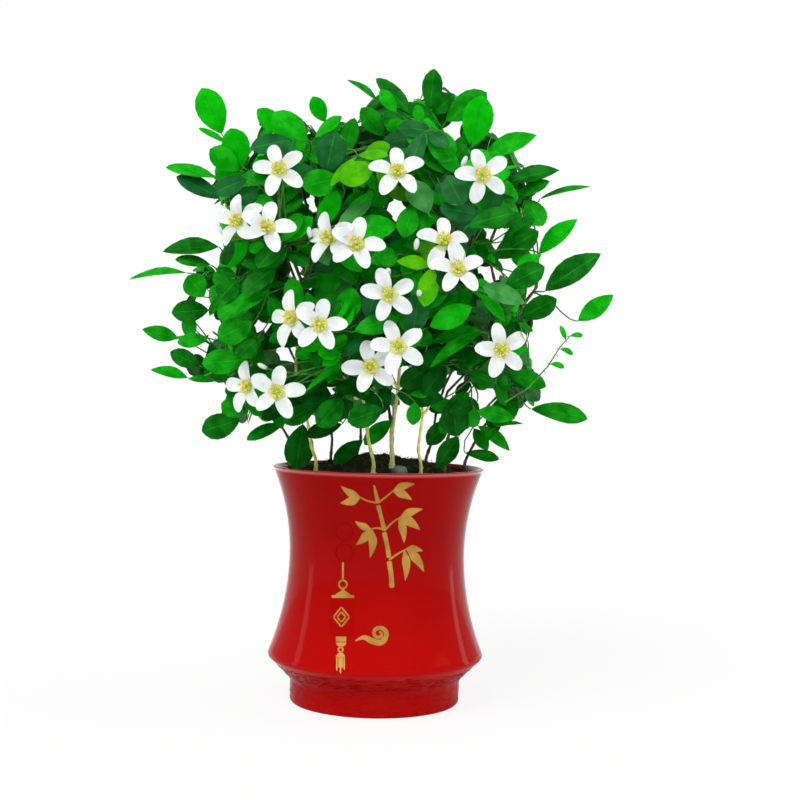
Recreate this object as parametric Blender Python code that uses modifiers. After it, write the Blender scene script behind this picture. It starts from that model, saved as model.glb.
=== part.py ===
"""An orange jasmine shrub in flower, built together with its waisted red pot.

Metres, +Z up. The origin is the centre of the pot's flat underside, and the front faces -Y.
"""

import itertools
import math
import random

import bmesh
import bpy
from mathutils import Matrix, Vector
from mathutils.bvhtree import BVHTree

# Gap kept between solids that touch, and the room kept between two masses of foliage
CLEARANCE = 0.0003
SPACE_MARGIN = 0.0006
LIMB_MARGIN = 0.0008
WELD = 0.00001

# Pot
TURN_STEPS = 32
POT_HEIGHT = 0.180
RIM_RADIUS = 0.0808
WAIST_RADIUS = 0.0671
WAIST_HEIGHT = 0.114
BELLY_RADIUS = 0.0824
BELLY_HEIGHT = 0.037
BELLY_ROUNDING = 0.004
FOOT_RADIUS = 0.0650
FOOT_HEIGHT = 0.018
FOOT_CHAMFER = 0.0025
WALL = 0.0038
FLOOR_THICKNESS = 0.012
WALL_SPANS = 10

# Soil, heaped a little in the middle
SOIL_EDGE_HEIGHT = 0.173
SOIL_CENTRE_HEIGHT = 0.182
SOIL_SPANS = 7

# Stems of the clump: foot across and back, fork across, back and up, thickness
STEMS = (
    (-0.064, 0.006, -0.084, 0.010, 0.222, 0.0021),
    (-0.047, -0.030, -0.058, -0.046, 0.232, 0.0024),
    (-0.038, 0.034, -0.046, 0.058, 0.238, 0.0022),
    (-0.018, 0.058, -0.014, 0.084, 0.228, 0.0022),
    (-0.004, -0.046, -0.016, -0.060, 0.246, 0.0026),
    (0.010, -0.022, 0.014, -0.026, 0.252, 0.0034),
    (0.010, 0.026, 0.002, 0.034, 0.256, 0.0028),
    (0.031, -0.052, 0.030, -0.076, 0.230, 0.0022),
    (0.038, 0.044, 0.050, 0.068, 0.234, 0.0024),
    (0.050, -0.014, 0.062, -0.020, 0.240, 0.0024),
    (0.067, 0.010, 0.090, 0.014, 0.224, 0.0022),
)
FLARE = 1.7
FLARE_HEIGHTS = (0.0, 0.003, 0.009)
FLARE_MIDDLE = 0.35
STEM_SPANS = 4
STEM_SWAY = 0.003
STEM_SWAY_TURNS = 0.75
STEM_LEAN_POWER = 1.25
STEM_TAPER = 0.72
SIDE_BOUGH_AT = 0.25
SIDE_BOUGH_OUT = 2.0
SIDE_BOUGH_RISE = 0.9
SIDE_BOUGH_THICKNESS = 0.8
AIM = 1.6
BOUGH_SPANS = 4
BOUGH_TIP = 0.0012
BOUGH_RISE = 0.40
BOUGH_ARRIVAL = 0.30

# Crown: half sizes of its rounded box, and the rings of masses in it
CROWN_HALF = Vector((0.188, 0.168, 0.151))
CROWN_MIDDLE = Vector((0.0, 0.0, 0.336))
CROWN_POWER = 2.5
CROWN_TOP = 0.4855
CROWN_HEART = Vector((0.0, 0.0, 0.235))
RINGS = (
    ("low", 7, 0.256, 0.122, 0.108, 0.02),
    ("middle", 7, 0.333, 0.136, 0.120, 0.65),
    ("high", 5, 0.402, 0.104, 0.092, 0.30),
    ("top", 2, 0.440, 0.046, 0.040, 2.70),
    ("heart", 1, 0.338, 0.0, 0.0, 0.0),
)
RING_SWAY = 0.008
RING_SWAY_STEP = 2.3
SHOOT_BEHIND = 0.034
SHOOT_AHEAD = 0.032
SHOOT_LIFT = 0.45
SHOOT_ROOT = 0.0014
SHOOT_TIP = 0.0012
SHOOT_SIDES = 5
SHOOT_GAP = 0.0007
STALK_TRIES = 8
STALK_LEAN = 40
STALK_LEAN_MORE = 55

# Leaves
LEAVES_TRIED = 16
LEAFLETS_WANTED = 15
LEAF_LENGTH = 0.098
LEAF_SHORTEST = 0.018
LEAFLET_LENGTH = 0.053
LEAFLET_WIDTH = 0.72
LEAFLET_THICKNESS = 0.0020
LEAFLET_WAIST = 0.38
LEAFLET_PLACES = (0.30, 0.50, 0.70, 0.88)
LEAFLET_SPREAD = 1.05
LEAFLET_ROOT = 0.0003
LAST_LEAFLET_ROOT = 0.0030
STALK_ROOT = 0.0010
STALK_TIP = 0.0009
STALK_SIDES = 3
GOLDEN_TURN = 2.39996
FACE_SWING = 0.5
FACE_LIFT = (0.1, 0.55)
FACE_LIFT_MORE = 0.7
ALMOST_ALONG = 0.9
TIP_FACE = Vector((0.0, -0.8, 0.6))

# Tips of the crown's outline as it shows from the front: across, back and up
OUTLINE_TIPS = (
    (-0.188, 0.004, 0.334),
    (-0.178, -0.030, 0.284),
    (-0.171, 0.024, 0.258),
    (-0.132, -0.040, 0.209),
    (-0.159, -0.022, 0.417),
    (-0.129, 0.010, 0.472),
    (-0.092, -0.052, 0.455),
    (-0.019, -0.030, 0.480),
    (0.045, 0.006, 0.486),
    (0.085, -0.024, 0.472),
    (0.122, 0.030, 0.438),
    (0.165, -0.010, 0.399),
    (0.172, 0.034, 0.350),
    (0.183, -0.028, 0.311),
    (0.152, -0.060, 0.273),
    (0.164, 0.008, 0.221),
)
# Tips at the front and the back, which the outline doesn't show: a fan of them each side of straight on
DEPTH_TIPS = 7
DEPTH_TIP_FAN = 0.84
DEPTH_TIP_HEIGHTS = (0.262, 0.345, 0.300, 0.392)

# Blooms seen from the front, one entry for each cluster, and a fan of more round the other sides
FRONT_BLOOMS = (
    ((-0.067, -0.136, 0.399),),
    ((0.014, -0.143, 0.393),),
    ((0.072, -0.137, 0.392),),
    ((-0.095, -0.134, 0.361), (-0.071, -0.146, 0.355)),
    ((-0.032, -0.150, 0.353), (-0.009, -0.156, 0.344)),
    ((0.044, -0.150, 0.346), (0.056, -0.154, 0.324)),
    ((0.010, -0.154, 0.308),),
    ((-0.056, -0.146, 0.300), (-0.036, -0.152, 0.290)),
    ((0.016, -0.148, 0.268), (-0.003, -0.142, 0.256)),
    ((0.086, -0.136, 0.274),),
    ((-0.088, -0.124, 0.251), (-0.068, -0.126, 0.243)),
)
OTHER_BLOOMS = 12
OTHER_BLOOM_FAN = 1.87
BLOOM_LIFT = 0.25
BLOOM_DEPTH = 0.93
BLOOM_HEIGHTS = (0.275, 0.365, 0.320, 0.415, 0.250)
PETALS = 5
PETAL_LENGTH = 0.020
PETAL_BLUNTNESS = 0.17
FLOWER_NOTCH = 0.38
FLOWER_CUP = 0.20
FLOWER_THICKNESS = 0.0022
FLOWER_SINK = 0.0002

RED_GLAZE = (0.39, 0.008, 0.006)
DARK_SOIL = (0.022, 0.016, 0.011)
PALE_BARK = (0.42, 0.36, 0.18)
LEAF_GREEN = (0.010, 0.22, 0.006)


def material(name, colour, roughness):
    made = bpy.data.materials.new(name)
    made.use_nodes = True
    shader = made.node_tree.nodes["Principled BSDF"]
    shader.inputs["Base Color"].default_value = (*colour, 1.0)
    shader.inputs["Roughness"].default_value = roughness
    shader.inputs["Metallic"].default_value = 0.0
    return made


def place(name, mesh, collection, surface=None):
    obj = bpy.data.objects.new(name, mesh)
    collection.objects.link(obj)
    if surface:
        mesh.materials.clear()
        mesh.materials.append(surface)
    return obj


def turned(name, profile, surface, collection):
    """A solid of revolution. The profile runs up its inner side, if it has one, and down its outer side."""
    mesh = bpy.data.meshes.new(name)
    edges = [(i, i + 1) for i in range(len(profile) - 1)]
    mesh.from_pydata([(radius, 0.0, height) for radius, height in profile], edges, [])
    obj = place(name, mesh, collection, surface)
    screw = obj.modifiers.new("Turn", "SCREW")
    screw.steps = screw.render_steps = TURN_STEPS
    screw.use_merge_vertices = True
    screw.merge_threshold = WELD
    screw.use_smooth_shade = True
    return obj


def body_radius(height):
    """Outer radius of the pot between its belly and its rim: one parabola each side of the waist."""
    if height > WAIST_HEIGHT:
        share = (height - WAIST_HEIGHT) / (POT_HEIGHT - WAIST_HEIGHT)
        return WAIST_RADIUS + (RIM_RADIUS - WAIST_RADIUS) * share**2
    share = (WAIST_HEIGHT - height) / (WAIST_HEIGHT - BELLY_HEIGHT)
    return WAIST_RADIUS + (BELLY_RADIUS - WAIST_RADIUS) * share**2


def steps(start, end, count):
    return [start + (end - start) * i / count for i in range(count + 1)]


def pot_profile():
    """From the middle of the inner floor, up inside, over the rounded lip and down to the middle of the underside."""
    lip = WALL / 2
    lowest_inside = BELLY_HEIGHT + WALL
    inside = [(0.0, FLOOR_THICKNESS), (FOOT_RADIUS - WALL, FLOOR_THICKNESS)]
    for height in steps(lowest_inside, POT_HEIGHT - lip, WALL_SPANS - 2):
        inside.append((body_radius(height) - WALL, height))
    top = []
    for angle in (0.25, 0.5, 0.75):
        swing = math.pi * (1.0 - angle)
        top.append((RIM_RADIUS - lip + lip * math.cos(swing), POT_HEIGHT - lip + lip * math.sin(swing)))
    outside = [(body_radius(height), height) for height in steps(POT_HEIGHT - lip, BELLY_HEIGHT, WALL_SPANS)]
    under = [
        (BELLY_RADIUS - 0.2 * BELLY_ROUNDING, BELLY_HEIGHT - 0.6 * BELLY_ROUNDING),
        (BELLY_RADIUS - BELLY_ROUNDING, BELLY_HEIGHT - 1.3 * BELLY_ROUNDING),
        (FOOT_RADIUS + FOOT_CHAMFER, FOOT_HEIGHT + FOOT_CHAMFER),
        (FOOT_RADIUS, FOOT_HEIGHT - FOOT_CHAMFER),
        (FOOT_RADIUS, FOOT_CHAMFER),
        (FOOT_RADIUS - FOOT_CHAMFER, 0.0),
        (0.0, 0.0),
    ]
    return inside + top + outside + under


def soil_height(distance):
    share = min(distance / RIM_RADIUS, 1.0)
    return SOIL_CENTRE_HEIGHT - (SOIL_CENTRE_HEIGHT - SOIL_EDGE_HEIGHT) * share


def soil_profile():
    """The plug of soil that fills the pot, a clearance off its wall, from the top's middle to the underside's."""
    edge = body_radius(SOIL_EDGE_HEIGHT) - WALL - CLEARANCE
    lowest = BELLY_HEIGHT + WALL
    side = [(0.0, SOIL_CENTRE_HEIGHT), (edge, soil_height(edge))]
    for height in steps(SOIL_EDGE_HEIGHT - WALL, lowest, SOIL_SPANS):
        side.append((body_radius(height) - WALL - 2 * CLEARANCE, height))
    floor = FLOOR_THICKNESS + CLEARANCE
    return side + [(FOOT_RADIUS - WALL - 2 * CLEARANCE, floor), (0.0, floor)]


def tube_mesh(name, points, radii):
    """A round limb along its points, as a closed mesh."""
    curve = bpy.data.curves.new(name, "CURVE")
    curve.dimensions = "3D"
    curve.bevel_depth = 1.0
    curve.bevel_resolution = 1
    curve.use_fill_caps = True
    spline = curve.splines.new("POLY")
    spline.points.add(len(points) - 1)
    for spot, point, radius in zip(spline.points, points, radii):
        spot.co = (*point, 1.0)
        spot.radius = radius
    guide = bpy.data.objects.new(name, curve)
    bpy.context.scene.collection.objects.link(guide)
    graph = bpy.context.evaluated_depsgraph_get()
    mesh = bpy.data.meshes.new_from_object(guide.evaluated_get(graph))
    bpy.data.objects.remove(guide)
    bpy.data.curves.remove(curve)
    work = bmesh.new()
    work.from_mesh(mesh)
    bmesh.ops.remove_doubles(work, verts=work.verts, dist=WELD)
    bmesh.ops.recalc_face_normals(work, faces=work.faces)
    work.to_mesh(mesh)
    work.free()
    return mesh


def tree_of(meshes):
    """One search tree over several meshes, to find what touches them."""
    points, faces = [], []
    for mesh in meshes:
        first = len(points)
        points.extend(vertex.co.copy() for vertex in mesh.vertices)
        faces.extend([first + i for i in face.vertices] for face in mesh.polygons)
    return BVHTree.FromPolygons(points, faces)


def bent(start, rise, way, end, count):
    """Points of a cubic curve that leaves its start along one direction and meets its end along another."""
    reach = (end - start).length
    first, second = start + rise * reach * BOUGH_RISE, end - way * reach * BOUGH_ARRIVAL
    points = []
    for share in steps(0.0, 1.0, count):
        t = 0.5 - 0.5 * math.cos(math.pi * share)
        near = start * (1 - t) ** 3 + first * 3 * t * (1 - t) ** 2
        points.append(near + second * 3 * t**2 * (1 - t) + end * t**3)
    return points


def outward(point):
    """The direction from the crown's heart through a point."""
    return (point - CROWN_HEART).normalized()


def facing(point, rng):
    """The way a blade at a point looks: out from the crown's axis, and more up the higher it is."""
    out = Vector((point.x, point.y, 0.0)).normalized()
    swing = Matrix.Rotation(rng.uniform(-FACE_SWING, FACE_SWING), 3, "Z")
    lift = rng.uniform(*FACE_LIFT) + max(point.z - CROWN_MIDDLE.z, 0.0) / CROWN_HALF.z * FACE_LIFT_MORE
    return (swing @ out + Vector((0.0, 0.0, lift))).normalized()


def in_reach(point):
    """True inside the box that the crown's furthest tips set."""
    return abs(point.x) < CROWN_HALF.x and abs(point.y) < CROWN_HALF.y and point.z < CROWN_TOP


def in_crown(point):
    reach = point - CROWN_MIDDLE
    return sum(abs(reach[i] / CROWN_HALF[i]) ** CROWN_POWER for i in range(3)) < 1.0


def on_crown(turn, height, share):
    """The point of the crown's skin at an angle and a height, drawn in to a share of its distance."""
    up = min(abs(height - CROWN_MIDDLE.z) / CROWN_HALF.z, 1.0) ** CROWN_POWER
    across, back = math.cos(turn), math.sin(turn)
    flat = abs(across / CROWN_HALF.x) ** CROWN_POWER + abs(back / CROWN_HALF.y) ** CROWN_POWER
    radius = ((1.0 - up) / flat) ** (1.0 / CROWN_POWER) * share
    return Vector((across * radius, back * radius, height))


def crown_spaces():
    """Name and seed of each mass. A mass keeps to the points that are nearer its own seed than any other."""
    spaces = []
    for ring, count, height, across, back, turn in RINGS:
        for i in range(count):
            angle = turn + math.tau * i / count
            sway = RING_SWAY * math.sin(RING_SWAY_STEP * i + count)
            seed = Vector((across * math.cos(angle), back * math.sin(angle), height + sway))
            spaces.append((f"foliage_{ring}_{i + 1:02d}", seed))
    return spaces


def nearest(spaces, point):
    return min(range(len(spaces)), key=lambda i: (spaces[i][1] - point).length_squared)


def inside_space(spaces, own, points):
    """True when every point lies on the own side of the planes halfway to the other seeds."""
    seed = spaces[own][1]
    for i, (_, other) in enumerate(spaces):
        if i == own:
            continue
        apart = 2 * (other - seed).length
        for point in points:
            if ((point - other).length_squared - (point - seed).length_squared) / apart < SPACE_MARGIN:
                return False
    return True


def share_out(spaces):
    """Gives each stem a high mass for its leader and a low one for its side bough.

    Two stems change masses with each other as long as that brings the two nearer to theirs.
    """
    aims = [Vector(row[2:4]) * AIM for row in STEMS]

    def cost(stem, space):
        return (spaces[space][1].xy - aims[stem]).length_squared

    by_height = sorted(range(len(spaces)), key=lambda k: -spaces[k][1].z)
    shared = []
    for level in (by_height[: len(STEMS)], by_height[len(STEMS):]):
        changed = True
        while changed:
            changed = False
            for i, j in itertools.combinations(range(len(STEMS)), 2):
                now = cost(i, level[i]) + cost(j, level[j])
                if cost(i, level[j]) + cost(j, level[i]) < now - WELD:
                    level[i], level[j] = level[j], level[i]
                    changed = True
        shared.append(level)
    return shared


def shoot_ends(seed):
    """Where a mass's own stem starts and ends."""
    way = (outward(seed) + Vector((0.0, 0.0, SHOOT_LIFT))).normalized()
    return seed - way * SHOOT_BEHIND, seed + way * SHOOT_AHEAD


def stem_limb(row):
    """Points and radii of a stem, from its flared foot, cut flat on the soil, to its fork."""
    foot_x, foot_y, fork_x, fork_y, fork_z, thickness = row
    radius = thickness / 2
    ground = soil_height(math.hypot(foot_x, foot_y)) + 2 * CLEARANCE
    points = [Vector((foot_x, foot_y, ground + height)) for height in FLARE_HEIGHTS]
    radii = [radius * FLARE, radius * (1 + (FLARE - 1) * FLARE_MIDDLE), radius]
    start = points[-1]
    end = Vector((fork_x, fork_y, fork_z))
    across = Vector((end.y - start.y, start.x - end.x, 0.0)).normalized()
    for t in steps(0.0, 1.0, STEM_SPANS)[1:]:
        sway = STEM_SWAY * math.sin(math.tau * t * STEM_SWAY_TURNS) * (1 - t)
        lean = t**STEM_LEAN_POWER
        points.append(start.lerp(end, t) + (end - start) * (lean - t) * Vector((1, 1, 0)) + across * sway)
        radii.append(radius * (1 + (STEM_TAPER - 1) * t))
    return points, radii


def bough_limbs(stem_points, stem_radii, leader_seed, side_seed):
    """The leader goes on from the stem's tip, and the side bough leaves the stem a little lower."""
    tip, tip_radius = stem_points[-1], stem_radii[-1]
    rise = (stem_points[-1] - stem_points[-2]).normalized()
    leader_root, leader_end = shoot_ends(leader_seed)
    arrival = (leader_end - leader_root).normalized()
    leader = bent(tip + rise * 2 * CLEARANCE, rise, arrival, leader_root, BOUGH_SPANS)
    fork = stem_points[-2].lerp(stem_points[-1], SIDE_BOUGH_AT)
    side_root, side_end = shoot_ends(side_seed)
    arrival = (side_end - side_root).normalized()
    flat = Vector((side_root.x - fork.x, side_root.y - fork.y, 0.0)).normalized()
    heading = (flat + rise * SIDE_BOUGH_RISE).normalized()
    start = fork + heading * (stem_radii[-2] * SIDE_BOUGH_OUT + 3 * CLEARANCE)
    side = bent(start, heading, arrival, side_root, BOUGH_SPANS)
    return (
        (leader, steps(tip_radius, BOUGH_TIP, BOUGH_SPANS)),
        (side, steps(stem_radii[-2] * SIDE_BOUGH_THICKNESS, BOUGH_TIP, BOUGH_SPANS)),
    )


def turned_to(along, up=None):
    """A turn that takes Z to a direction and, if a second one is given, Y as near as it goes to that."""
    along = along.normalized()
    up = up or (Vector((0, 0, 1)) if abs(along.z) < 0.95 else Vector((1, 0, 0)))
    side = along.cross(up).normalized() * -1
    front = along.cross(side).normalized()
    return Matrix((side, front, along)).transposed().to_4x4()


def twig(start, end, start_radius, end_radius, sides=STALK_SIDES):
    """A tapered twig of few sides."""
    work = bmesh.new()
    middle = Matrix.Translation((start + end) / 2) @ turned_to(end - start)
    bmesh.ops.create_cone(
        work, cap_ends=True, cap_tris=False, segments=sides, matrix=middle,
        radius1=start_radius, radius2=end_radius, depth=(end - start).length,
    )
    return work


def leaflet(base, along, face, length, droop):
    """An eight-faced blade, widest before its middle, with its tip bent down."""
    work = bmesh.new()
    bmesh.ops.create_uvsphere(work, u_segments=4, v_segments=2, radius=0.5)
    half_width, half_thickness = length * LEAFLET_WIDTH, LEAFLET_THICKNESS
    for vert in work.verts:
        height = vert.co.z + 0.5
        is_tip = height > 0.9
        if 0.1 < height < 0.9:
            height = LEAFLET_WAIST
        vert.co = (vert.co.x * half_width, vert.co.y * half_thickness - droop * length * is_tip, height * length)
    bmesh.ops.transform(work, matrix=Matrix.Translation(base) @ turned_to(along, face), verts=work.verts)
    return work


def flower(centre, axis, turn):
    """A five-petalled star, a thin lens whose outline runs out and in, with its petals raised a little."""
    work = bmesh.new()
    bmesh.ops.create_uvsphere(work, u_segments=3 * PETALS, v_segments=2, radius=1.0)
    for vert in work.verts:
        if abs(vert.co.z) > 0.5:
            vert.co = (0.0, 0.0, math.copysign(FLOWER_THICKNESS / 2, vert.co.z))
            continue
        sector = math.tau / PETALS
        place_in_sector = (math.atan2(vert.co.y, vert.co.x) % sector) / sector
        notch = place_in_sector < 0.1 or place_in_sector > 0.9
        radius = PETAL_LENGTH * (FLOWER_NOTCH if notch else 1.0)
        side = 0.0 if notch else math.copysign(0.5 - PETAL_BLUNTNESS, place_in_sector - 0.5)
        middle = math.atan2(vert.co.y, vert.co.x) - (place_in_sector - 0.5) * sector * (not notch)
        angle = middle + side * sector * 0.5
        lift = radius * FLOWER_CUP
        vert.co = (radius * math.cos(angle), radius * math.sin(angle), lift)
    placed = Matrix.Translation(centre) @ turned_to(axis) @ Matrix.Rotation(turn, 4, "Z")
    bmesh.ops.transform(work, matrix=placed, verts=work.verts)
    return work


def corners(work):
    return [vert.co.copy() for vert in work.verts]


def touches(work, trees):
    """True when a shape cuts any of the search trees."""
    own = BVHTree.FromBMesh(work)
    return any(own.overlap(tree) for tree in trees)


def bloom_places(spaces):
    """The clusters of blooms by mass: the ones seen from the front, then a fan round the sides and the back."""
    clusters = [[Vector(spot) for spot in cluster] for cluster in FRONT_BLOOMS]
    for i in range(OTHER_BLOOMS):
        turn = math.pi / 2 + OTHER_BLOOM_FAN * (2 * (i + 0.5) / OTHER_BLOOMS - 1)
        clusters.append([on_crown(turn, BLOOM_HEIGHTS[i % len(BLOOM_HEIGHTS)], BLOOM_DEPTH)])
    held = {}
    for cluster in clusters:
        held.setdefault(nearest(spaces, cluster[0]), []).extend(cluster)
    return held


def tip_places(spaces):
    """The tips of the outline by mass, with more at the front and the back."""
    tips = [Vector(tip) for tip in OUTLINE_TIPS]
    for side in (-1, 1):
        for i in range(DEPTH_TIPS):
            turn = DEPTH_TIP_FAN * (2 * i / (DEPTH_TIPS - 1) - 1)
            height = DEPTH_TIP_HEIGHTS[i % len(DEPTH_TIP_HEIGHTS)]
            tips.append(on_crown(side * (math.pi / 2 - turn), height, 1.0))
    held = {}
    for tip in tips:
        held.setdefault(nearest(spaces, tip), []).append(tip)
    return held


def first_clear(make, foreign, *arguments):
    """The first of a few tries at a stalk and what it bears that touches nothing foreign, or nothing at all."""
    for _ in range(STALK_TRIES):
        start, shapes = make(*arguments)
        if not any(touches(work, foreign) for work in shapes):
            return start, shapes
    return None, []


def bloom_on_stalk(root, end, centre, rng):
    """A bloom on a stalk of its own from the mass's stem."""
    start = root.lerp(end, rng.uniform(0.30, 0.95))
    axis = (outward(centre) + Vector((0.0, 0.0, BLOOM_LIFT))).normalized()
    stalk = twig(start, centre - axis * FLOWER_SINK, STALK_ROOT, STALK_TIP)
    return start, [stalk, flower(centre, axis, rng.uniform(0.0, math.tau))]


def last_leaflet_on_stalk(root, end, tip, rng):
    """A leaf stalk whose last leaflet ends at a tip of the outline."""
    start = root.lerp(end, rng.uniform(0.25, 0.95))
    along = (tip - start).normalized()
    join = tip - along * LEAFLET_LENGTH
    stalk = twig(start, join + along * LAST_LEAFLET_ROOT, STALK_ROOT, STALK_TIP)
    return start, [stalk, leaflet(join, along, TIP_FACE, LEAFLET_LENGTH, 0.0)]


def fixed_shapes(root, end, centres, tips, foreign, rng):
    """What has its place in a mass: its stem, its blooms and the leaf stalks that reach the outline."""
    way = (end - root).normalized()
    shapes = [twig(root + way * SHOOT_GAP, end, SHOOT_ROOT, SHOOT_TIP, SHOOT_SIDES)]
    for centre in centres:
        shapes.extend(first_clear(bloom_on_stalk, foreign, root, end, centre, rng)[1])
    stalks = []
    for tip in tips:
        start, found = first_clear(last_leaflet_on_stalk, foreign, root, end, tip, rng)
        if found:
            along = (tip - start).normalized()
            stalks.append((start, tip - along * LEAFLET_LENGTH, len(shapes)))
            shapes.extend(found)
    return shapes, stalks


def leaflets_on(start, end, rng, with_last):
    """Alternate leaflets along a stalk, larger towards its end."""
    along = (end - start).normalized()
    face = facing(end, rng)
    if abs(face.dot(along)) > ALMOST_ALONG:
        face = (face + Vector((0.0, 0.0, 1.0))).normalized()
    side = along.cross(face).normalized()
    shapes = []
    for i, share in enumerate(LEAFLET_PLACES):
        hand = -1 if i % 2 else 1
        spread = LEAFLET_SPREAD * rng.uniform(0.85, 1.1)
        way = (along * math.cos(spread) + side * hand * math.sin(spread)).normalized()
        tilt = (face + side * hand * rng.uniform(-0.2, 0.5)).normalized()
        length = LEAFLET_LENGTH * (0.72 + 0.28 * share) * rng.uniform(0.9, 1.08)
        base = start.lerp(end, share) - way * LEAFLET_ROOT
        shapes.append(leaflet(base, way, tilt, length, rng.uniform(0.02, 0.12)))
    if with_last:
        base = end - along * LAST_LEAFLET_ROOT
        shapes.append(leaflet(base, along, face, LEAFLET_LENGTH * rng.uniform(0.95, 1.1), rng.uniform(0.02, 0.12)))
    return shapes


def leaf_shapes(spaces, own, root, end, kept, stalks, foreign, rng):
    """Compound leaves in a spiral round the mass's stem, added to the shapes that it holds already.

    A blade that would leave the space, or touch a limb or another blade, is skipped.
    """
    taken = [BVHTree.FromBMesh(work) for work in kept]
    blades = 0

    def add_blades(start, stalk, with_last, stem_tree):
        found = []
        for blade in leaflets_on(start, stalk, rng, with_last):
            points = corners(blade)
            bounds = in_crown if with_last else in_reach
            fits = inside_space(spaces, own, points) and all(bounds(point) for point in points)
            if fits and not touches(blade, foreign + [tree for tree in taken if tree is not stem_tree]):
                found.append(blade)
                taken.append(BVHTree.FromBMesh(blade))
        return found

    for start, join, number in stalks:
        found = add_blades(start, join, False, taken[number])
        kept.extend(found)
        blades += 1 + len(found)
    way = (end - root).normalized()
    side = way.orthogonal().normalized()
    for k in range(LEAVES_TRIED):
        share = 1.0 - k / LEAVES_TRIED
        turn = Matrix.Rotation(k * GOLDEN_TURN + rng.uniform(-0.3, 0.3), 3, way)
        lean = math.radians(STALK_LEAN + STALK_LEAN_MORE * (1 - share))
        heading = way * math.cos(lean) + (turn @ side) * math.sin(lean)
        heading = (heading + Vector((0.0, 0.0, 0.12))).normalized()
        start = root.lerp(end, 0.10 + 0.88 * share)
        length = LEAF_LENGTH * rng.uniform(0.8, 1.1) - LEAFLET_LENGTH
        stalk = start + heading * length
        while not (inside_space(spaces, own, [stalk]) and in_crown(stalk)) and length > LEAF_SHORTEST:
            length -= LEAF_SHORTEST / 5
            stalk = start + heading * length
        stem = twig(start, stalk, STALK_ROOT, STALK_TIP)
        if length <= LEAF_SHORTEST or touches(stem, foreign + taken[1:]):
            continue
        stem_tree = BVHTree.FromBMesh(stem)
        taken.append(stem_tree)
        found = add_blades(start, stalk, True, stem_tree)
        kept.append(stem)
        kept.extend(found)
        blades += len(found)
        if blades >= LEAFLETS_WANTED:
            break
    return kept


def mesh_of(work, name):
    mesh = bpy.data.meshes.new(name)
    work.to_mesh(mesh)
    return mesh


def largest_body(obj):
    """Drops loose scraps and the walls of sealed hollows: only the body with the most faces stays."""
    work = bmesh.new()
    work.from_mesh(obj.data)
    unseen, bodies = set(work.verts), []
    while unseen:
        body, front = set(), [unseen.pop()]
        while front:
            vert = front.pop()
            body.add(vert)
            for edge in vert.link_edges:
                other = edge.other_vert(vert)
                if other in unseen:
                    unseen.discard(other)
                    front.append(other)
        bodies.append(body)
    bodies.sort(key=len)
    for body in bodies[:-1]:
        bmesh.ops.delete(work, geom=list(body), context="VERTS")
    work.to_mesh(obj.data)
    work.free()


def fused(name, first, others, surface, collection):
    """One Boolean union of a mass's stem with its twigs, leaves and blooms."""
    obj = place(name, mesh_of(first, name), collection, surface)
    helpers = bpy.data.collections.new(name + "_shapes")
    bpy.context.scene.collection.children.link(helpers)
    for i, work in enumerate(others):
        place(f"{name}_shape_{i:02d}", mesh_of(work, f"{name}_shape_{i:02d}"), helpers)
    union = obj.modifiers.new("Fuse", "BOOLEAN")
    union.operation = "UNION"
    union.operand_type = "COLLECTION"
    union.collection = helpers
    union.solver = "MANIFOLD"
    graph = bpy.context.evaluated_depsgraph_get()
    mesh = bpy.data.meshes.new_from_object(obj.evaluated_get(graph))
    obj.modifiers.clear()
    obj.data = mesh
    mesh.name = name
    mesh.materials.clear()
    mesh.materials.append(surface)
    for helper in list(helpers.objects):
        bpy.data.objects.remove(helper)
    bpy.data.collections.remove(helpers)
    largest_body(obj)
    return obj


def build_limbs(spaces, bark, plant):
    """Stems and boughs. Returns a search tree of them all, a margin thicker than they are."""
    leaders, sides = share_out(spaces)
    thick = []
    for i, row in enumerate(STEMS):
        points, radii = stem_limb(row)
        limbs = [(f"stem_{i + 1:02d}", points, radii)]
        seeds = [spaces[taken[i]][1] for taken in (leaders, sides)]
        for kind, (line, widths) in zip(("leader", "side"), bough_limbs(points, radii, *seeds)):
            limbs.append((f"bough_{i + 1:02d}_{kind}", line, widths))
        for name, line, widths in limbs:
            place(name, tube_mesh(name, line, widths), plant, bark)
            thick.append(tube_mesh(name, line, [width + LIMB_MARGIN for width in widths]))
    tree = tree_of(thick)
    for mesh in thick:
        bpy.data.meshes.remove(mesh)
    return tree


def build_foliage(spaces, limb_tree, green, plant):
    """The shapes with a place of their own come first, and the leaves then keep clear of all of them."""
    blooms, tips = bloom_places(spaces), tip_places(spaces)
    frames, trees = [], []
    for own, (_, seed) in enumerate(spaces):
        rng = random.Random(100 + own)
        root, end = shoot_ends(seed)
        held = blooms.get(own, []), tips.get(own, [])
        shapes, stalks = fixed_shapes(root, end, *held, [limb_tree, *trees], rng)
        frames.append((shapes, stalks, rng))
        meshes = [mesh_of(work, "shape") for work in shapes]
        trees.append(tree_of(meshes))
        for mesh in meshes:
            bpy.data.meshes.remove(mesh)
    for own, (name, seed) in enumerate(spaces):
        shapes, stalks, rng = frames[own]
        foreign = [limb_tree] + [tree for i, tree in enumerate(trees) if i != own]
        shapes = leaf_shapes(spaces, own, *shoot_ends(seed), shapes, stalks, foreign, rng)
        fused(name, shapes[0], shapes[1:], green, plant)


def build():
    for obj in list(bpy.data.objects):
        bpy.data.objects.remove(obj)
    plant = bpy.data.collections.new("orange_jasmine_in_pot")
    bpy.context.scene.collection.children.link(plant)
    turned("pot", pot_profile(), material("red_glaze", RED_GLAZE, 0.12), plant)
    turned("soil", soil_profile(), material("dark_soil", DARK_SOIL, 0.95), plant)
    spaces = crown_spaces()
    limb_tree = build_limbs(spaces, material("pale_bark", PALE_BARK, 0.7), plant)
    build_foliage(spaces, limb_tree, material("leaf_green", LEAF_GREEN, 0.4), plant)


build()
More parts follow.
